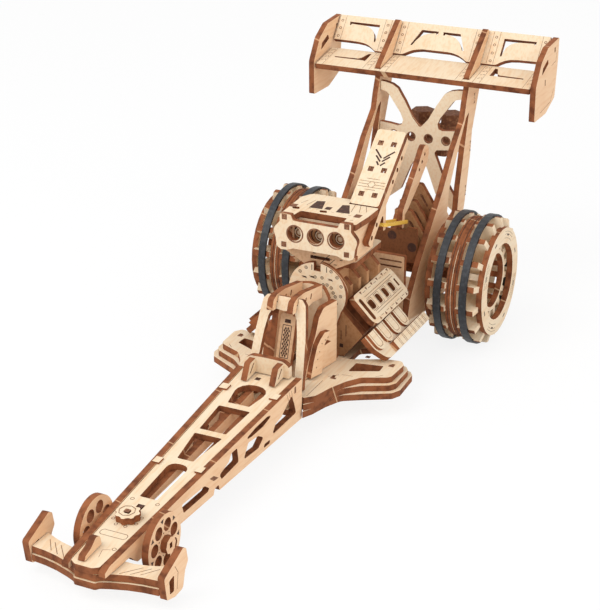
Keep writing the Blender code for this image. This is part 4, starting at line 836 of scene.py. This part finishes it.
@dataclass
class Cockpit(Part):
    """The riveted L-shaped layer on each side wall and the lattice on the seat panel."""

    splay: float = math.radians(9.9)
    wall_station: float = 162.8
    wall_front_half: float = 8.0
    wall_foot: float = 17.3
    ply: float = 2.8
    layer: float = 2.4
    # Distance along the wall, height and corner radius of the riveted layer
    outline: Spots = (
        (1.0, 1.2), (3.2, 8.5), (5.9, 14.9), (8.2, 17.2), (11.4, 19.3), (15.6, 18.6), (16.4, 13.4), (11.2, 13.2),
        (9.8, 8.0), (9.6, 0.6),
    )
    rivets: Spots = (
        (14.0, 16.2), (11.9, 15.6), (9.4, 14.8), (7.6, 11.6), (6.2, 8.4), (5.2, 4.9),
    )
    lean: float = math.radians(17.2)
    lattice_foot: float = 13.6
    lattice_pitch: float = 1.15
    lattice_step: float = 1.0
    lattice_rows: int = 13
    diamond: Spot = (0.46, 0.78)
    # How far the layer and the lattice stand off their plates
    layer_gap: float = 0.02
    lattice_gap: float = 0.02

    def wall(self, lift: float) -> Face:
        """Returns the outer face of the left side wall, moved outwards."""
        sine, cosine = math.sin(self.splay), math.cos(self.splay)
        out = self.ply / 2 + lift
        x = self.wall_front_half + out * cosine
        s = self.wall_station - out * sine
        return Face((x * MM, s * MM - HALF_LENGTH, self.wall_foot * MM), (sine, cosine, 0.0), (0.0, 0.0, 1.0))

    def build(self) -> None:
        """Makes the layers and burns the lattice."""
        face = self.wall(self.layer + self.layer_gap)
        for mirror, word in SIDES:
            layer = Burner(f"riveted_layer_{word}", face, mirror)
            layer.patch(self.outline)
            layer.finish(self.skins.ply[Lie.UPRIGHT], relief=0.0, thick=self.layer, slot="birch_ply")
            marks = Burner(f"riveted_layer_dots_{word}", face, mirror)
            for spot in self.rivets:
                marks.dot(spot, 0.34, 8)
            marks.finish(self.skins.burnt)

        sine, cosine = math.sin(self.lean), math.cos(self.lean)
        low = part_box("seat_panel")[0]
        foot = (0.0, low[1] - self.lattice_gap * MM, low[2] + self.ply * MM * sine)
        marks = Burner("seat_lattice", Face(foot, (1.0, 0.0, 0.0), (0.0, sine, cosine)))
        wide, tall = self.diamond
        for row in range(self.lattice_rows):
            y = self.lattice_foot + row * self.lattice_step
            for column in (-1.0, 0.0, 1.0) if row % 2 else (-0.5, 0.5):
                x = column * self.lattice_pitch
                marks.patch(((x - wide, y), (x, y - tall), (x + wide, y), (x, y + tall)))
        top = self.lattice_foot + self.lattice_rows * self.lattice_step
        marks.frame((-2.0, self.lattice_foot - 1.0), (2.0, top + 0.4), WIDE)
        marks.patch(((-1.5, top + 1.4), (1.5, top + 1.4), (1.3, top + 3.0), (-1.3, top + 3.0)))
        marks.ring((-1.0, 10.2), 1.2, 0.25, 12)
        marks.ring((1.2, 10.6), 0.8, 0.25, 10)
        marks.finish(self.skins.charred_and_shaded)


@dataclass
class Timing(Part):
    """Ringed bolt holes, slits and notch lines on the timing plate."""

    rings: Spots = (
        (-5.4, 56.0), (-8.4, 53.7), (-1.0, 52.1), (2.4, 52.3), (6.8, 56.0), (9.7, 53.6), (3.0, 49.0), (4.9, 49.3),
        (6.9, 48.2), (11.7, 49.6), (7.9, 46.0), (6.0, 43.4), (8.9, 44.3), (11.5, 44.9), (9.4, 41.0),
    )
    # Radius and width of a bolt hole's ring, and the radius of its dot
    bolt: Spot = (0.78, 0.26)
    bolt_dot: float = 0.26
    slits: Spots = ((-6.4, 51.3), (-2.7, 51.9), (6.3, 51.9))
    slit: Spots = ((-1.5, 0.5), (-0.4, 0.1), (0.9, 0.4), (1.5, -0.5), (0.3, -0.3), (-1.1, -0.2))
    notches: Strokes = (((-2.6, 55.2), (-2.6, 57.8)), ((4.6, 55.2), (4.6, 57.8)))
    # Half width, lower and upper end of the grooves on the block's front
    grooves: Sequence[tuple[float, float, float]] = ((10.6, 22.6, 27.0), (13.0, 24.6, 30.0))
    socket: Spot = (10.8, 19.6)
    socket_half: float = 0.9

    def build(self) -> None:
        """Burns the marks."""
        marks = Burner("timing_marks", front_of("timing_plate"))
        for spot in self.rings:
            marks.ring(spot, *self.bolt)
            marks.dot(spot, self.bolt_dot, 8)
        for spot in self.slits:
            marks.stamp(spot, self.slit)
        marks.lines(self.notches, BOLD)
        marks.finish(self.skins.charred_and_shaded)
        marks = Burner("block_front_marks", front_of("engine_block"))
        for side in (1, -1):
            marks.lines([((side * x, low), (side * x, high)) for x, low, high in self.grooves], BOLD)
            marks.stamp((side * self.socket[0], self.socket[1]), SQUARE, self.socket_half, self.socket_half)
        marks.finish(self.skins.charred_and_shaded)


@dataclass
class Covers(Part):
    """Hatch lines, triangles and hole outlines on the valve covers, U lines on the headers."""

    out: float = 42.4
    start: float = 198.0
    length: float = 41.6
    middle: float = -11.85
    half: float = 8.25
    lines: Sequence[float] = (4.6, 3.4, -3.4, -4.6)
    # Where the lines stop short of the cover's ends
    line_gaps: Spot = (8.0, 3.5)
    # Triangles along each edge: how many, the first one's place and their pitch
    teeth: tuple[int, float, float] = (6, 7.6, 6.1)
    hole_pitch: float = 7.5
    # Corners of the frame around a hole, from the hole's middle
    frame_low: Spot = (-2.3, -2.8)
    frame_high: Spot = (2.4, 2.8)
    tubes: int = 4
    # A tube's U line, from its near end to its middle
    tube_line: Spots = ((1.3, 3.2), (1.3, -3.4), (2.3, -4.7))
    header_out: float = 41.0
    header_start: float = 189.2
    tube_pitch: float = 9.5
    tube_width: float = 7.2
    collector_out: float = 42.4
    # Distance of each pair of grooves across the collector behind its start
    grooves: Sequence[float] = (16.0, 21.0, 26.5, 31.5, 36.0, 40.5, 44.5)
    groove_gap: float = 1.1
    groove_ends: Spot = (-11.1, -6.9)

    def bank(self, out: float) -> Face:
        """Returns the left bank's face at a distance out; its up direction is across it."""
        sine = math.sin(math.radians(45.0))
        return Face((out * MM * sine, -HALF_LENGTH, out * MM * sine), (0.0, 1.0, 0.0), (-sine, 0.0, sine))

    def build(self) -> None:
        """Burns the marks; across runs up the bank here."""
        centre = self.start + self.length / 2
        up = -self.middle
        for mirror, word in SIDES:
            marks = Burner(f"cover_marks_{word}", self.bank(self.out), mirror)
            first, last = self.start + self.line_gaps[0], self.start + self.length - self.line_gaps[1]
            marks.lines([((first, up + off), (last, up + off)) for off in self.lines], FINE)
            count, near, pitch = self.teeth
            for k in range(count):
                s = self.start + near + pitch * k
                for side in (1, -1):
                    v = up + side * (self.half - 0.5)
                    marks.patch(((s - 0.9, v), (s + 0.9, v), (s, v - side * 1.5)))
                    marks.line((s + 1.6, v - side * 1.2), (s + 4.4, v - side * 1.2), THIN)
            (left, low), (right, high) = self.frame_low, self.frame_high
            for k in range(self.tubes):
                s = centre + (k - 1.5) * self.hole_pitch
                marks.frame((s + left, up + low), (s + right, up + high), FINE)
            marks.finish(self.skins.burnt)
            marks = Burner(f"header_marks_{word}", self.bank(self.header_out), mirror)
            for k in range(self.tubes):
                near = self.header_start + 1.0 + k * self.tube_pitch
                far = near + self.tube_width
                rise = [(far - s, v) for s, v in reversed(self.tube_line)]
                marks.path([*((near + s, v) for s, v in self.tube_line), *rise])
            marks.finish(self.skins.burnt)
            marks = Burner(f"collector_marks_{word}", self.bank(self.collector_out), mirror)
            low, high = self.groove_ends
            for off in self.grooves:
                for step in (0.0, self.groove_gap):
                    s = self.header_start + off + step
                    marks.line((s, low), (s, high), 0.26)
            marks.finish(self.skins.burnt)


@dataclass
class Scoop(Part):
    """Tab ends, slots and seams on the injector scoop, and the bosses in its mouths."""

    tabs: Spots = ((-14.9, 79.3), (-15.2, 66.3), (15.2, 79.3), (15.2, 66.3))
    mouths: Sequence[float] = (-9.8, 0.2, 10.0)
    mouth_height: float = 72.0
    mouth_radius: float = 4.2
    mouth_rim: float = 0.7
    boss_depth: float = 5.4
    boss_height: float = 71.0
    boss_long: float = 0.6
    # Radius and width of the rings behind each mouth
    boss_rings: Spots = ((2.9, 0.5), (4.6, 0.5))
    boss_rim: Spot = (2.2, 0.45)
    boss_dot: float = 1.1
    wall_thick: float = 0.8
    tab_half: float = 1.25
    dash_half: float = 0.7
    boss_wall: Spots = ((-12.0, 64.2), (12.0, 64.2), (12.0, 76.0), (-12.0, 76.0))
    roof_tabs: Spots = ((-17.0, 206.6), (14.6, 206.0))
    roof_tab: Spots = ((-1.7, -1.8), (1.4, -1.9), (1.3, 2.1), (-1.8, 2.2))
    # Corners of each dark slot: near left, far left, far right, near right
    roof_slots: Sequence[Spots] = (
        ((-9.9, 207.1), (-10.0, 216.4), (-6.4, 217.5), (-3.6, 207.6)),
        ((3.5, 206.6), (2.5, 216.4), (5.6, 217.3), (9.9, 207.2)),
        ((-2.8, 207.9), (-2.9, 211.3), (-0.2, 211.6), (0.0, 208.0)),
    )
    roof_lines: Strokes = (
        ((9.6, 209.7), (7.6, 219.0)), ((13.2, 210.5), (10.2, 219.4)), ((15.9, 212.3), (12.6, 219.8)),
        ((-15.6, 211.1), (-14.2, 215.5)), ((-12.2, 209.9), (-11.1, 217.0)), ((-15.5, 201.0), (-13.9, 201.2)),
        ((-10.0, 205.9), (-8.5, 206.1)), ((-5.9, 206.0), (-4.8, 206.3)), ((1.6, 205.9), (2.7, 205.9)),
        ((6.5, 206.0), (7.6, 206.2)), ((10.0, 205.4), (11.3, 205.6)), ((13.3, 200.0), (14.8, 200.1)),
    )
    blower_lines: Strokes = (((0.1, 57.6), (4.6, 62.4)), ((4.4, 57.8), (7.1, 60.6)))
    blower_dashes: Spots = (
        (-2.9, 62.2), (-3.2, 60.2), (-3.8, 58.0), (2.2, 58.0), (5.0, 60.3), (7.4, 58.2), (10.2, 60.8),
    )

    def build(self) -> None:
        """Burns the marks and makes the bosses."""
        marks = Burner("scoop_marks", front_of("scoop_front"))
        for spot in self.tabs:
            marks.stamp(spot, SQUARE, self.tab_half, self.tab_half)
        for x in self.mouths:
            marks.ring((x, self.mouth_height), self.mouth_radius, self.mouth_rim, 28)
        marks.finish(self.skins.burnt)
        self.bosses()
        marks = Burner("roof_marks", top_of("scoop_top"))
        for spot in self.roof_tabs:
            marks.stamp(spot, self.roof_tab)
        marks.lines(self.roof_lines, FINE)
        marks.finish(self.skins.burnt)
        # The slots are near-black patches: painted shade in the openings
        marks = Burner("roof_slots", top_of("scoop_top"))
        for slot in self.roof_slots:
            marks.patch(slot)
        marks.finish(self.skins.charred_and_shaded)
        marks = Burner("blower_marks", front_of("blower_front"))
        marks.lines(self.blower_lines, WIDE)
        marks.lines([((x - self.dash_half, z), (x + self.dash_half, z)) for x, z in self.blower_dashes], BOLD)
        marks.finish(self.skins.charred_and_shaded)

    def bosses(self) -> None:
        """Makes the wall behind the mouths, its rings and its bosses."""
        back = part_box("scoop_front")[0][1] + HALF_LENGTH + self.boss_depth * MM
        wall = Cutter("scoop_boss_wall", front_face(back))
        wall.thick = self.wall_thick
        wall.loop(self.boss_wall)
        # The wall takes the ply with painted shade of the model's inside
        wall.cut(self.skins.inner)
        marks = Burner("scoop_boss_rings", front_face(back))
        studs = Burner("scoop_bosses", front_face(back - self.boss_long * MM))
        for x in self.mouths:
            spot = (x, self.boss_height)
            for ring in self.boss_rings:
                marks.ring(spot, *ring, 24)
            studs.ring(spot, *self.boss_rim, 24)
            studs.dot(spot, self.boss_dot, 16)
        marks.finish(self.skins.charred_and_shaded)
        studs.finish(self.skins.ply[Lie.CROSS], relief=0.0, thick=self.boss_long)


@dataclass
class Lever(Part):
    """Tab ends, chevrons and lines on the start lever."""

    station: float = 0.2195
    rise: float = 0.0800
    lean: float = math.radians(39.0)
    middle: float = 11.5
    windows: Sequence[float] = (5.74, 19.27, 33.62)
    window_off: float = 3.22
    arm_width: float = 0.8
    # Half the distance between the two tab ends of a window, and their half sizes
    tab_off: float = 0.68
    tab_half: Spot = (0.52, 1.2)
    arms: Strokes = (
        ((7.2, 29.9), (11.3, 25.6)), ((8.4, 26.7), (11.3, 23.7)), ((9.6, 23.6), (11.1, 21.7)),
        ((16.6, 29.9), (12.3, 25.6)), ((15.2, 26.8), (12.1, 23.8)), ((13.8, 23.5), (12.0, 21.5)),
    )
    lines: Strokes = (
        ((5.2, 12.6), (17.8, 12.6)), ((5.2, 9.6), (17.8, 9.6)), ((8.3, 14.1), (14.5, 14.1)),
        ((9.0, 8.3), (14.0, 8.3)), ((5.2, 11.1), (9.6, 11.1)), ((13.2, 11.1), (17.8, 11.1)),
        ((9.6, 11.1), (10.6, 12.4)), ((13.2, 11.1), (12.2, 12.4)), ((9.6, 11.1), (10.6, 9.8)),
        ((13.2, 11.1), (12.2, 9.8)),
    )

    def build(self) -> None:
        """Burns the marks and fills the windows with tab ends."""
        face = leaning_face(self.station, self.rise, self.lean)
        marks = Burner("lever_marks", face)
        marks.lines(self.arms, self.arm_width)
        marks.finish(self.skins.charred_and_shaded)
        marks = Burner("lever_lines", face)
        marks.lines(self.lines, FINE)
        marks.finish(self.skins.burnt)
        tabs = Burner("lever_tab_ends", face)
        for v in self.windows:
            for off in (self.window_off, -self.window_off):
                for part in (-self.tab_off, self.tab_off):
                    tabs.stamp((self.middle + off + part, v), SQUARE, *self.tab_half)
        tabs.finish(self.skins.burnt, relief=-0.25)


@dataclass
class RearWheels(Part):
    """Hub rings, spokes, seams, tab slots and wear arcs on the rear wheels."""

    station: float = 273.3
    height: float = 31.4
    spokes: int = 16
    slots: int = 8
    slot_circle: float = 22.6
    arcs: Sequence[float] = (21.0, 22.9, 24.2)
    # Radius, width, outer face and thickness of the hub ring
    hub: Quad = (15.0, 1.9, 56.7, 2.8)
    spoke_reach: Spot = (14.7, 20.0)
    spoke_span: Spot = (48.3, 56.4)
    spoke_thick: float = 2.8
    # Outer face and radius of each seam; the first one is pale
    seams: Spots = ((45.62, 29.42), (44.0, 29.40), (47.1, 29.40))
    # First and last angle of the wear arcs, in degrees
    sectors: Sequence[tuple[int, int]] = ((50, 80), (-40, -10), (-130, -100), (140, 170))

    def build(self) -> None:
        """Makes the hubs and burns the marks."""
        centre = (self.station, self.height)
        for mirror, word in SIDES:
            radius, width, face, thick = self.hub
            ring = Burner(f"rear_hub_ring_{word}", side_face(face * MM), mirror)
            ring.ring(centre, radius, width, 48)
            ring.finish(self.skins.wheel, "rear_wheelset", 0.0, thick, "birch_ply")
            for index, (place, radius) in enumerate(self.seams):
                seam = Burner(f"rear_seam_{index}_{word}", side_face(place * MM), mirror)
                seam.ring(centre, radius, 0.6, 64)
                seam.finish(self.skins.charred_and_shaded if index else self.skins.ply[Lie.CROSS], "rear_wheelset", 0.0, 0.24)
            self.make_spokes(word, mirror)
            marks = Burner(f"rear_wheel_marks_{word}", side_of("rear_wheel_left"), mirror)
            for k in range(self.slots):
                turn = math.tau * (k + 0.5) / self.slots
                spot = around(centre, turn, self.slot_circle)
                marks.line(*(around(spot, turn + math.pi / 2, half) for half in (-1.3, 1.3)), 0.9)
            for radius in self.arcs:
                for first, last in self.sectors:
                    marks.path([around(centre, math.radians(a), radius) for a in range(first, last + 1, 5)], 0.14)
            marks.finish(self.skins.charred_and_shaded, "rear_wheelset")

    def make_spokes(self, word: str, mirror: bool) -> None:
        """Spins one spoke around the axle.

        Args:
            word: The wheel's side.
            mirror: Whether it is the right wheel.
        """
        bm = bmesh.new()
        low, high = self.spoke_span
        inner, outer = self.spoke_reach
        half_pitch = Matrix.Rotation(math.pi / self.spokes, 4, "X")
        middle = Matrix.Translation(((low + high) / 2, 0.0, (inner + outer) / 2))
        size = Matrix.Diagonal((high - low, self.spoke_thick, outer - inner, 1.0))
        bmesh.ops.create_cube(bm, size=1.0, matrix=half_pitch @ middle @ size)
        bmesh.ops.spin(
            bm, geom=bm.verts[:] + bm.edges[:] + bm.faces[:], cent=(0.0, 0.0, 0.0), axis=(1.0, 0.0, 0.0),
            dvec=(0.0, 0.0, 0.0), angle=math.tau * (self.spokes - 1) / self.spokes, steps=self.spokes - 1,
            use_duplicate=True,
        )
        place = Matrix.Translation((0.0, self.station * MM - HALF_LENGTH, self.height * MM))
        bmesh.ops.transform(bm, matrix=place @ flip(mirror) @ Matrix.Scale(MM, 4), verts=bm.verts)
        make_piece(f"rear_spokes_{word}", bm, self.skins.wheel, "rear_wheelset")


@dataclass
class RearEnd(Part):
    """Marks on struts, ribs, rear wall and endplates, the motor plate and both blades of the wing."""

    strut_marks: Spots = ((325.6, 103.6), (322.3, 79.9), (318.0, 57.9))
    claw: Spots = ((-0.9, 2.6), (-0.1, 0.5), (0.9, 2.6), (0.0, 1.6))
    endplate_paths: Sequence[Spots] = (
        ((322.3, 101.2), (338.0, 102.8), (342.6, 108.6)), ((336.5, 121.4), (343.6, 122.2), (344.4, 127.2)),
    )
    brace_holes: Spots = ((-13.95, 82.5), (-4.65, 82.5), (4.65, 82.5), (13.95, 82.5))
    motor_station: float = 0.2614
    motor_plate: Spots = (
        (-21.4, 38.0), (21.4, 38.0), (21.4, 56.0), (16.5, 56.0), (14.5, 54.0), (-14.5, 54.0), (-16.5, 56.0),
        (-21.4, 56.0),
    )
    motor_thick: float = 0.8
    motor_knobs: Spots = ((8.6, 50.7), (18.9, 46.0), (-8.6, 50.7), (-18.9, 46.0))
    knob_radius: float = 2.3
    # Radius and width of the rims
    brace_rim: Spot = (2.5, 0.5)
    # Ends and width of each slit on the right half
    rib_slits: Slits = (
        ((14.2, 56.4), (18.0, 50.6), 0.7), ((18.6, 50.0), (20.6, 46.8), WIDE),
    )
    wall_slits: Slits = (
        ((9.5, 44.7), (20.6, 44.7), 0.5), ((9.5, 42.2), (20.6, 42.2), WIDE),
    )
    # Distance behind the nose and lift of each rib's slits
    ribs: Spots = ((268.9, 0.0), (275.2, 2.7), (282.8, 9.0))
    # Place, height and rake of the lower blade, and the rake of the back blade
    blade_foot: Spot = (0.3133, 0.1149)
    blade_rake: float = math.radians(10.5)
    flap_rake: float = math.radians(40.5)
    # Middle of each riveted strip and its lower end on the back blade
    strips: Spots = ((20.0, 0.3), (29.1, 0.3), (54.3, 4.3))
    blade_ends: Spot = (0.4, 19.6)
    flap_top: float = 18.0
    flap_rivet: Spot = (0.72, 0.28)
    flap_rivet_gap: float = 0.8
    blade_rivets: Sequence[float] = (5.4, 9.4, 13.5, 17.4)
    flap_rivets: Sequence[float] = (15.0, 10.7, 6.2, 1.9)
    strip_half: float = 1.7
    chord: float = 20.3
    tall: float = 18.2
    # Outlines on the right half: the notch for a strut, the slots and the arched lower edge
    notch: Spots = ((21.7, 20.3), (21.7, 2.2), (25.1, 2.2), (25.1, 20.3))
    lower_slot: Spots = (
        (33.0, 9.2), (34.6, 9.6), (50.0, 9.6), (50.0, 10.7), (37.6, 11.0), (36.2, 12.2), (34.5, 17.6), (33.0, 17.9),
    )
    arches: Spots = (
        (7.0, 3.9), (9.6, 3.5), (12.2, 2.8), (14.4, 1.7), (16.2, 0.5), (17.2, 0.0), (32.0, 0.0), (33.0, 0.5),
        (34.6, 1.7), (36.6, 2.8), (39.2, 3.6), (43.0, 4.0), (48.0, 4.1),
    )
    back_slots: Sequence[Sequence[Spot]] = (
        (
            (33.3, 4.9), (34.1, 4.9), (34.5, 7.4), (35.4, 9.8), (37.0, 11.7), (39.0, 12.8), (41.0, 13.3), (48.9, 13.6),
            (49.0, 12.9), (49.7, 12.9), (50.0, 14.7), (33.3, 14.6),
        ),
        (
            (13.3, 5.6), (14.3, 5.6), (10.3, 14.5), (1.2, 14.5), (1.5, 12.7), (2.2, 12.7), (2.5, 13.5), (6.4, 12.8),
            (8.6, 11.8), (10.6, 10.2), (12.2, 7.9),
        ),
    )

    def build(self) -> None:
        """Burns the marks on struts, endplates and ribs and makes the motor plate."""
        for mirror, word in SIDES:
            marks = Burner(f"strut_marks_{word}", side_of("wing_strut_left"), mirror)
            for s, z in self.strut_marks:
                for side in (1, -1):
                    marks.stamp((s, z), self.claw, 1.0, side)
                marks.line((s - 1.0, z + 0.5), (s + 1.0, z - 0.5), 0.25)
            marks.finish(self.skins.burnt)
            marks = Burner(f"wing_endplate_marks_{word}", side_of("wing_endplate_left"), mirror)
            for path in self.endplate_paths:
                marks.path(path, THIN)
            marks.finish(self.skins.burnt)
        for index, (s, lift) in enumerate(self.ribs):
            marks = Burner(f"rib_slits_{index}", front_face(s * MM))
            for side in (1, -1):
                for (x, z), (end, low), width in self.rib_slits:
                    marks.line((side * x, z + lift), (side * end, low + lift), width)
            marks.finish(self.skins.burnt)
        plate = Cutter("motor_front_plate", front_face(self.motor_station))
        plate.thick = self.motor_thick
        plate.loop(self.motor_plate)
        # The motor plate takes the ply painted with deep shade
        plate.cut(self.skins.dark)
        marks = Burner("motor_knobs", front_face(self.motor_station))
        for spot in self.motor_knobs:
            marks.dot(spot, self.knob_radius, 20)
        marks.finish(self.skins.charred_and_shaded)
        marks = Burner("brace_hole_rims", front_of("cross_brace"))
        for spot in self.brace_holes:
            marks.ring(spot, *self.brace_rim, 24)
        marks.finish(self.skins.burnt)
        marks = Burner("rear_wall_slits", front_of("rear_wall"))
        for side in (1, -1):
            for (x, z), (end, low), width in self.wall_slits:
                marks.line((side * x, z), (side * end, low), width)
        marks.finish(self.skins.burnt)
        self.lower_blade()
        self.back_blade()

    def both_halves(self, right: Spots) -> list[Spot]:
        """Returns an outline from its right half, which starts in the middle."""
        return [*right, *((-u, v) for u, v in reversed(right[1:]))]

    def lower_blade(self) -> None:
        """Cuts the lower blade of the rear wing and burns its riveted strips."""
        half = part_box("wing_lower_blade")[1][0] / MM
        face = leaning_face(*self.blade_foot, self.blade_rake)
        blade = Cutter("lower_blade_plate", face)
        blade.loop(self.both_halves([(0.0, self.chord), *self.notch, (half, self.chord), (half, 0.0)]))
        blade.both(self.lower_slot)
        blade.cut(self.skins.ply[Lie.BLADE], nodes=("wing_lower_blade",))
        marks = Burner("lower_blade_strips", face)
        low, high = self.blade_ends
        for middle in (side * x for side in (1, -1) for x, _ in self.strips):
            for edge in (-self.strip_half, self.strip_half):
                marks.line((middle + edge, low), (middle + edge, high), HAIR)
            for v in self.blade_rivets:
                marks.line((middle - 0.9, v - 0.5), (middle + 0.1, v + 0.5), 0.32)
                marks.dot((middle + 0.9, v + 0.4), 0.36, 8)
        marks.finish(self.skins.burnt)

    def back_blade(self) -> None:
        """Cuts the back blade of the rear wing and burns its riveted strips."""
        low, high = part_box("wing_back_blade")
        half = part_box("wing_lower_blade")[1][0] / MM
        sine, cosine = math.sin(self.flap_rake), math.cos(self.flap_rake)
        face = Face((0.0, low[1], high[2] - self.tall * MM * cosine), (1.0, 0.0, 0.0), (0.0, sine, cosine))
        blade = Cutter("back_blade_plate", face)
        blade.loop(self.both_halves([(0.0, 3.9), *self.arches, (half, 4.1), (half, self.tall)]))
        for slot in self.back_slots:
            blade.both(slot)
        blade.cut(self.skins.ply[Lie.FLAP], nodes=("wing_back_blade",))
        marks = Burner("back_blade_strips", face)
        for middle, foot in ((side * x, foot) for side in (1, -1) for x, foot in self.strips):
            for edge in (-self.strip_half, self.strip_half):
                marks.line((middle + edge, foot), (middle + edge, self.flap_top), HAIR)
            for v in self.flap_rivets:
                if v > foot + self.flap_rivet_gap:
                    marks.ring((middle, v), *self.flap_rivet)
        marks.finish(self.skins.burnt)


@dataclass
class Studio:
    """The floor, the lamps and the camera."""

    azimuth: float = math.radians(25.51)
    elevation: float = math.radians(23.49)
    # The camera's place, with its Y behind the nose
    eye: Point = (0.2722, -0.3931, 0.3203)
    # Focal length and longer side of the picture, in pixels
    focal: float = 1576.0
    longer: float = 610.0
    sensor: float = 36.0
    floor_half: float = 1.6
    # Share of plain white in the floor as the camera sees it
    paper_glow: float = 0.86
    sky_colour: Colour = (1.0, 1.0, 1.0)
    sky_strength: float = 0.80
    lamp_size: float = 0.9

    def build(self) -> None:
        """Makes everything around the object."""
        self.floor()
        self.lamps()
        self.camera()

    def floor(self) -> None:
        """Makes a white floor that keeps the object's shadow."""
        bm = bmesh.new()
        bmesh.ops.create_grid(bm, x_segments=1, y_segments=1, size=self.floor_half)
        shader = Shader("paper_floor")
        floor = make_surface("floor", bm, shader.finish(base_color=(0.86, 0.86, 0.86, 1.0), roughness=0.9))
        glow = shader.node("ShaderNodeEmission", inputs={"Color": (1.0, 1.0, 1.0, 1.0), "Strength": 1.0})
        paper = Socket(shader.tree, shader.surface.outputs[0])
        share = self.seen(shader.tree) * self.paper_glow
        blend = shader.node("ShaderNodeMixShader", inputs={0: share, 1: paper, 2: glow})
        shader.feed(shader.tree.nodes["Material Output"].inputs["Surface"], blend)

    def seen(self, tree: bpy.types.NodeTree) -> Socket:
        """Returns 1 for rays that show the backdrop itself and 0 for those that carry its light.

        Args:
            tree: The node tree that the value is used in.

        Returns:
            The value for camera, glossy and transmission rays.
        """
        path = tree.nodes.new("ShaderNodeLightPath")
        rays = [Socket(tree, path.outputs[f"Is {kind} Ray"]) for kind in ("Camera", "Glossy", "Transmission")]
        return (rays[0] + rays[1] + rays[2]).step(0.0, 1.0)

    def lamps(self) -> None:
        """Hangs a large soft key lamp, a fill lamp and a pale sky."""
        for name, place, power in (("key_lamp", (-0.5, -0.7, 1.1), 9.0), ("fill_lamp", (1.0, -0.4, 0.7), 4.0)):
            lamp = bpy.data.lights.new(name, "AREA")
            lamp.size = self.lamp_size
            lamp.energy = power
            item = make_object(name, lamp)
            item.location = place
            item.rotation_euler = (-Vector(place)).to_track_quat("-Z", "Y").to_euler()
        world = bpy.data.worlds.new("studio")
        bpy.context.scene.world = world
        world.use_nodes = True
        sky = world.node_tree.nodes["Background"]
        sky.inputs["Color"].default_value = (*self.sky_colour, 1.0)
        strength = self.sky_strength + self.seen(world.node_tree) * (1.0 - self.sky_strength)
        world.node_tree.links.new(strength.socket, sky.inputs["Strength"])

    def camera(self) -> None:
        """Sets the camera at the photograph's angle."""
        a, e = self.azimuth, self.elevation
        back = Vector((math.sin(a) * math.cos(e), -math.cos(a) * math.cos(e), math.sin(e)))
        right = Vector((math.cos(a), math.sin(a), 0.0))
        up = back.cross(right)
        data = bpy.data.cameras.new("camera")
        data.sensor_width = self.sensor
        data.lens = self.focal / self.longer * self.sensor
        data.clip_start = 0.01
        data.clip_end = 20.0
        camera = make_object("camera", data)
        place = Vector((self.eye[0], self.eye[1] + CAD_BOX[0][1], self.eye[2]))
        camera.matrix_world = Matrix.Translation(place) @ Matrix((right, up, back)).transposed().to_4x4()
        bpy.context.scene.camera = camera


def main() -> None:
    """Dresses the model and sets the studio around it."""
    logging.basicConfig(level=logging.INFO)
    skins = Finishes()
    skins.dress(frame["nodes"])
    parts = (
        FrontWing, Deck, Trusses, FrontWheels, Skirts, Cockpit, Timing, Covers, Scoop, Lever, RearWheels, RearEnd,
    )
    for part in parts:
        part(skins).build()
    Studio().build()
    bpy.context.scene.view_settings.view_transform = "Standard"


if __name__ == "__main__":
    main()
